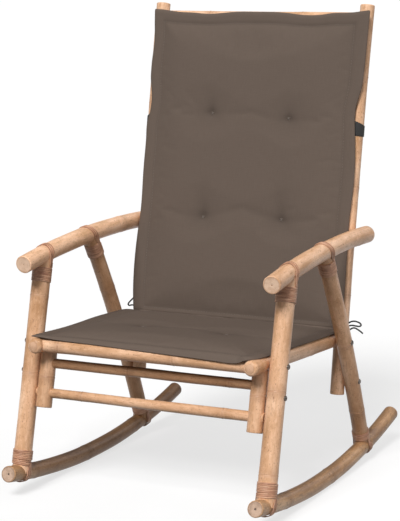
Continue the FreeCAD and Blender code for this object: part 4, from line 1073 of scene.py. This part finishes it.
def pad_panel(name, node, body, panel):
    x, a = flat_grid(panel)
    length = panel["length"]
    half = PAD_HALF - FLANGE
    border = (np.abs(x) > half + SLACK) | (a > length - FLANGE + SLACK) | (a < FOLD_FLAT - SLACK)
    seam = ~border & ((np.abs(x) > half - SLACK) | (a > length - FLANGE - SLACK) | (a < FOLD_FLAT + SLACK))
    height, depth = cover_height(panel, x, a)
    # painted shade: deeper tufts and creases, and the seam, get a darker cover colour
    crease_shade = np.where(border, 0.0, np.where(seam, SEAM_SHADE, np.clip(depth / CREASE_SHADE_FULL, 0, 1))).ravel()
    height = np.where(seam, -SEAM_DIP, height - depth)
    rim = (np.abs(x) > PAD_HALF - SLACK) | (a > length - SLACK) | (a < FOLD_GAP + SLACK)
    ripple = 0.5 * np.sin(x / 21.0 + 1.3) + 0.5 * np.sin(a / 27.0)
    height = np.where(border, 0.5 + ripple * 0.5, height)
    height = np.where(rim, RIM_TOP, height)
    held = border | seam
    for tx, ta in panel["tufts"]:
        held = held | (np.hypot(x - tx, a - ta) < TUFT_HOLD)
    wx, wa = warped(panel, x, a)
    shift = edge_shift(panel, x, a)

    def place(heights):
        return (FOLD + wx[..., None] * X_AXIS + wa[..., None] * panel["along"]
                + (heights + shift)[..., None] * panel["face"])

    top = place(height)
    facing = float(np.cross(X_AXIS, panel["along"]) @ panel["face"])
    top = settle(name + "_cloth", top, facing, held)
    sag = np.where(held, 0.0, SAG * (1 - (np.abs(x) / half) ** 2)
                   * (0.5 + 0.5 * np.cos(2 * math.pi * x / SLAT_PITCH + math.pi)))
    under = place(np.where(rim, RIM_UNDER, -FLANGE_THICK + 0.2 - np.where(border | seam, -0.3, sag)))
    rows, columns = x.shape
    index = np.arange(rows * columns).reshape(rows, columns)
    loop = np.concatenate([index[0, :-1], index[:-1, -1], index[-1, :0:-1], index[:0:-1, 0]])
    flat_top, flat_under = top.reshape(-1, 3), under.reshape(-1, 3)
    outward = np.stack([np.sign(x) * (np.abs(x) > PAD_HALF - SLACK), np.where(a > length - SLACK, 1.0, 0.0)],
                       axis=-1).reshape(-1, 2)[loop]
    lip = ((flat_top[loop] + flat_under[loop]) / 2 + LIP * outward[:, :1] * X_AXIS
           + LIP * outward[:, 1:] * panel["along"])
    count = rows * columns
    quads = sheet_quads(index)
    lips = np.arange(2 * count, 2 * count + len(loop))
    edge_top = np.stack([loop, lips, np.roll(lips, -1), np.roll(loop, -1)], axis=1)
    edge_under = np.stack([lips, loop + count, np.roll(loop, -1) + count, np.roll(lips, -1)], axis=1)
    faces = np.concatenate([quads, quads[:, ::-1] + count, edge_top, edge_under])
    if facing < 0:
        faces = faces[:, ::-1]
    cloth_at = np.stack([x, a, np.zeros_like(x)], axis=-1).reshape(-1, 3)
    cloth = np.concatenate([cloth_at, cloth_at + (0, 0, 300.0), cloth_at[loop] + (3.0, 3.0, 0)]) * MM
    draft = add_mesh(name + "_draft", np.concatenate([flat_top, flat_under, lip]), faces.tolist(), [FABRIC],
                     None, {"cloth": cloth, "crease_shade": np.concatenate([crease_shade, np.zeros(count + len(loop))])})
    draft.modifiers.new("smooth", "SUBSURF").levels = 1
    bpy.context.view_layer.update()
    mesh = bpy.data.meshes.new_from_object(draft.evaluated_get(bpy.context.evaluated_depsgraph_get()))
    mesh.name = name
    drop(draft)
    cover = take_place(add_object(name, mesh), body, [node])
    columns_in = np.flatnonzero(np.abs(x[0]) < half + SLACK)
    rows_in = np.flatnonzero((a[:, 0] > FOLD_FLAT - SLACK) & (a[:, 0] < length - FLANGE + SLACK))
    first, last = columns_in[0], columns_in[-1]
    low, high = rows_in[0], rows_in[-1]
    seam_line = np.concatenate([top[low, first:last], top[low:high, last], top[high, last:first:-1],
                                top[high:low:-1, first]])
    stitches(name.replace("cover", "stitches"), body, np.concatenate([seam_line, seam_line[:1]]),
             panel["face"])
    tuft_knots(name.replace("cover", "tufts"), body, panel, x, a, top)


STITCH = 4.4
STITCH_GAP = 1.6
STITCH_LIFT = 0.35
STITCH_SHAPE = ((-0.5, 0.12, 0.1), (-0.3, 0.42, 0.55), (0.0, 0.48, 0.75), (0.3, 0.42, 0.55), (0.5, 0.12, 0.1))


def thread_bit(start, end, face, wide, rise):
    """A short plump stitch between two points of the cover: its vertices in rings of five."""
    along = end - start
    across = unit(np.cross(face, along))
    rings = []
    for run, half, lift in STITCH_SHAPE:
        centre = (start + end) / 2 + along * run
        for side, up in ((-1, 0), (-0.7, 0.7), (0, 1), (0.7, 0.7), (1, 0)):
            rings.append(centre + across * side * half * wide + face * (up * lift * rise))
    return rings


def thread_faces(base):
    faces = []
    for ring in range(len(STITCH_SHAPE) - 1):
        for spoke in range(4):
            corner = base + ring * 5 + spoke
            faces.append([corner, corner + 5, corner + 6, corner + 1])
        faces.append([base + ring * 5 + 4, base + ring * 5 + 9, base + ring * 5 + 5, base + ring * 5])
    last = base + (len(STITCH_SHAPE) - 1) * 5
    faces.append([base, base + 1, base + 2, base + 3, base + 4])
    faces.append([last + 4, last + 3, last + 2, last + 1, last])
    return faces


def thread_mesh(name, body, bits):
    vertices = np.concatenate([np.array(bit) for bit in bits])
    faces = [face for number in range(len(bits)) for face in thread_faces(number * 5 * len(STITCH_SHAPE))]
    obj = add_mesh(name, vertices, faces, [THREAD], None, {"cloth": vertices * MM})
    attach(obj, body)


def stitches(name, body, line, face):
    """A row of machine stitches sunk in the seam."""
    runs = runs_of(line)
    count = int(runs[-1] / (STITCH + STITCH_GAP))
    starts = np.arange(count) * runs[-1] / count

    def at(run):
        return point_at(run, runs, line) + face * STITCH_LIFT

    bits = [thread_bit(at(run), at(run + STITCH), face, 1.0, 0.9) for run in starts]
    thread_mesh(name, body, bits)


def tuft_knots(name, body, panel, x, a, top):
    """Crossed tufting threads at the bottom of every dimple."""
    bits = []
    for tx, ta in panel["tufts"]:
        row, column = np.unravel_index(np.argmin(np.hypot(x - tx, a - ta)), x.shape)
        middle = top[row, column] + panel["face"] * 0.9
        for degrees, reach in ((35, 5.0), (128, 4.5), (82, 3.4)):
            way = math.cos(math.radians(degrees)) * X_AXIS + math.sin(math.radians(degrees)) * panel["along"]
            bits.append(thread_bit(middle - way * reach, middle + way * reach, panel["face"], 1.7, 1.8))
    thread_mesh(name, body, bits)


pad_panel("seat_pad_cover", "seat_pad", "seat_panel", SEAT_PANEL)
pad_panel("back_pad_cover", "back_pad", "chair", BACK_PANEL)

# Fold: the cloth runs on from the seat panel to the back panel
FOLD_PROFILE = ((9.0, 2.2), (5.0, 1.5), (2.2, 0.9))
FOLD_CORNER = 0.7
FOLD_CLOTH = 1.3
FOLD_HALF = 243.0
FOLD_COLUMNS = 82


def fold_line(extra):
    """Points of the fold's section, sunk by extra under both panels' faces."""
    seat = [FOLD + SEAT_AHEAD * along - SEAT_UP * (sunk + extra) for along, sunk in FOLD_PROFILE]
    back = [FOLD + BACK_RISE * along - BACK_FRONT * (sunk + extra) for along, sunk in FOLD_PROFILE[::-1]]
    planes = np.array([SEAT_UP[1:], BACK_FRONT[1:]])
    corner = np.linalg.solve(planes, np.full(2, -FOLD_CORNER - extra))
    return seat + [FOLD + np.array([0.0, *corner])] + back


fold_section = np.array(fold_line(0.0) + fold_line(FOLD_CLOTH)[::-1])
fold_xs = np.linspace(-FOLD_HALF, FOLD_HALF, FOLD_COLUMNS)
fold_waves = 0.25 * np.sin(fold_xs / 19.0) + 0.2 * np.sin(fold_xs / 7.3)
fold_points = (fold_section[None, :, :] + fold_xs[:, None, None] * X_AXIS
               + fold_waves[:, None, None] * unit(SEAT_UP + BACK_FRONT))
fold_ring = len(fold_section)
fold_index = np.arange(len(fold_xs) * fold_ring).reshape(-1, fold_ring)
fold_faces = tube_quads(fold_index, False).tolist()
fold_faces += [fold_index[0].tolist(), fold_index[-1][::-1].tolist()]
fold_cloth = np.stack([np.broadcast_to(fold_xs[:, None], fold_index.shape),
                       np.broadcast_to(np.arange(fold_ring) * 3.0, fold_index.shape),
                       np.zeros(fold_index.shape)], axis=-1).reshape(-1, 3) * MM
fold_band = add_mesh("pad_fold_cloth", fold_points.reshape(-1, 3), fold_faces, [FABRIC], None,
                     {"cloth": fold_cloth})
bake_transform(fold_band)

# Elastic strap: a flat band from behind the pad's edges round both uprights
STRAP_THICK = 1.3
STRAP_ALONG = 412.0
STRAP_SEWN = 14.0
STRAP_GAP = 0.1
STRAP_BEND_STEPS = 25
STRAP_SPAN_STEPS = 40
STRAP_SPAN_IN = 20
strap_post = upright_at_z(1, (FOLD + BACK_RISE * STRAP_ALONG)[2])
strap_ring = UPRIGHT_R + STRAP_GAP + STRAP_THICK / 2
turn = np.radians(np.linspace(90, -90, STRAP_BEND_STEPS))
right_bend = np.stack([strap_post[0] + strap_ring * np.cos(turn), strap_ring * np.sin(turn)], axis=1)
strap_path = np.concatenate([
    [[strap_post[0] - STRAP_SEWN, strap_ring]], right_bend,
    np.stack([np.linspace(strap_post[0] - STRAP_SPAN_IN, STRAP_SPAN_IN - strap_post[0], STRAP_SPAN_STEPS),
              np.full(STRAP_SPAN_STEPS, -strap_ring)], axis=1),
    right_bend[::-1] * (-1, 1), [[STRAP_SEWN - strap_post[0], strap_ring]]])
strap_way = units(np.gradient(strap_path, axis=0))
strap_out = np.stack([-strap_way[:, 1], strap_way[:, 0]], axis=1)
strap_run = runs_of(strap_path)
STRAP_SECTION = [(-1.0, 0.0)] + [(s, 0.5) for s in np.linspace(-0.94, 0.94, 9)] + [(1.0, 0.0)] \
    + [(s, -0.5) for s in np.linspace(0.94, -0.94, 9)]
strap_section = np.array(STRAP_SECTION)
strap_lift = (strap_section[:, 1] * STRAP_THICK)[None, :, None]
strap_flat = strap_path[:, None, :] + strap_out[:, None, :] * strap_lift
strap_ends = np.minimum(strap_run, strap_run[-1] - strap_run)
STRAP_HALVES = ((0.0, 16.0), (14.0, 15.5), (38.0, 11.5), (66.0, 12.5), (1e4, 13.0))
STRAP_CENTRES = ((0.0, 4.0), (14.0, 3.5), (38.0, -1.0), (66.0, 0.0), (1e4, 0.0))
strap_half, strap_centre = [np.interp(strap_ends, *np.array(values).T)
                            for values in (STRAP_HALVES, STRAP_CENTRES)]
strap_up = strap_centre[:, None] + strap_section[None, :, 0] * strap_half[:, None]
strap_vertices = (strap_post * (0, 1, 1) + strap_flat[..., :1] * X_AXIS + strap_flat[..., 1:] * BACK_FRONT
                  + strap_up[..., None] * BACK_RISE)
ring = len(strap_section)
index = np.arange(len(strap_path) * ring).reshape(-1, ring)
strap_faces = tube_quads(index).tolist()
strap_faces += [index[0][::-1].tolist(), index[-1].tolist()]
strap_cloth = np.stack([strap_up, np.broadcast_to(strap_run[:, None], strap_up.shape),
                        np.zeros(strap_up.shape)], axis=-1).reshape(-1, 3) * MM
take_place(add_mesh("elastic_band", strap_vertices.reshape(-1, 3), strap_faces, [ELASTIC], None,
                    {"cloth": strap_cloth}),
           "chair", ["elastic_strap"])

# The leg screws keep their CAD shape, and so do the hidden dowels
for kept_node, kept_material in (("leg_screws", STEEL), ("leg_dowels", DOWEL_WOOD)):
    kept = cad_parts[kept_node].data
    kept.materials.clear()
    kept.materials.append(kept_material)

# Stage: a pale floor, soft light and the photo's camera
floor_mesh = bpy.data.meshes.new("floor")
FLOOR_REACH = 60.0
floor_mesh.from_pydata([(-FLOOR_REACH, -FLOOR_REACH, 0), (FLOOR_REACH, -FLOOR_REACH, 0),
                        (FLOOR_REACH, FLOOR_REACH, 0), (-FLOOR_REACH, FLOOR_REACH, 0)], [], [(0, 1, 2, 3)])
floor = add_object("floor", floor_mesh)
floor_material, floor_tree, floor_shader = new_material("pale_floor")
floor_place = put(floor_tree, "ShaderNodeTexCoord").outputs["Object"]
floor_tone = noise(floor_tree, floor_place, scale=3.0, detail=2.0)
floor_tree.links.new(ramp(floor_tree, floor_tone, ((0.3, (0.29, 0.29, 0.29)), (0.7, (0.31, 0.31, 0.31)))),
                     floor_shader.inputs["Base Color"])
floor_shader.inputs["Roughness"].default_value = 0.9
floor_shader.inputs["Specular IOR Level"].default_value = 0.0
floor_shader.inputs["Emission Color"].default_value = (1.0, 1.0, 1.0, 1.0)
floor_shader.inputs["Emission Strength"].default_value = 0.68
floor_mesh.materials.append(floor_material)
floor.visible_diffuse = False

# Sky of the studio: bright above, dim below
world = bpy.data.worlds.new("studio")
bpy.context.scene.world = world
bpy.context.scene.view_settings.view_transform = "Standard"
world.use_nodes = True
sky_tree = world.node_tree
sky_way = put(sky_tree, "ShaderNodeTexCoord").outputs["Generated"]
sky_up = put(sky_tree, "ShaderNodeSeparateXYZ", (), {0: sky_way}).outputs[2]
sky = sky_tree.nodes["Background"]
sky.inputs["Color"].default_value = (1.0, 0.985, 0.965, 1.0)
below = ranged(sky_tree, sky_up, -0.6, 0.1, 0.05, 0.27)
above = ranged(sky_tree, sky_up, 0.1, 0.9, 0.0, -0.09)
sky_tree.links.new(math_node(sky_tree, "ADD", below, above), sky.inputs["Strength"])


LAMP_REACH = 4.0


def sun_light(name, azimuth, elevation, angle, strength):
    """A broad far light from an azimuth counted from the front towards +X, and an elevation."""
    lamp = bpy.data.lights.new(name, "SUN")
    lamp.angle = math.radians(angle)
    lamp.energy = strength
    obj = add_object(name, lamp)
    turn = math.radians(azimuth)
    rise = math.radians(elevation)
    place = Vector((math.sin(turn) * math.cos(rise), -math.cos(turn) * math.cos(rise), math.sin(rise)))
    obj.location = place * LAMP_REACH
    obj.rotation_euler = (-place).to_track_quat("-Z", "Y").to_euler()


sun_light("key_light", 3.0, 46.0, 22.0, 3.35)
sun_light("side_light", 80.0, 25.0, 60.0, 0.65)
sun_light("back_light", 168.0, 30.0, 40.0, 0.5)

camera_data = bpy.data.cameras.new("photo_camera")
camera_data.lens = CAMERA_LENS
camera_data.sensor_width = CAMERA_SENSOR
camera_data.clip_end = CAMERA_CLIP
camera = add_object("photo_camera", camera_data)
camera.matrix_world = Matrix((
    (CAMERA_RIGHT[0], -CAMERA_DOWN[0], -CAMERA_AHEAD[0], CAMERA_AT[0] * MM),
    (CAMERA_RIGHT[1], -CAMERA_DOWN[1], -CAMERA_AHEAD[1], CAMERA_AT[1] * MM),
    (CAMERA_RIGHT[2], -CAMERA_DOWN[2], -CAMERA_AHEAD[2], CAMERA_AT[2] * MM),
    (0.0, 0.0, 0.0, 1.0),
))
bpy.context.scene.camera = camera
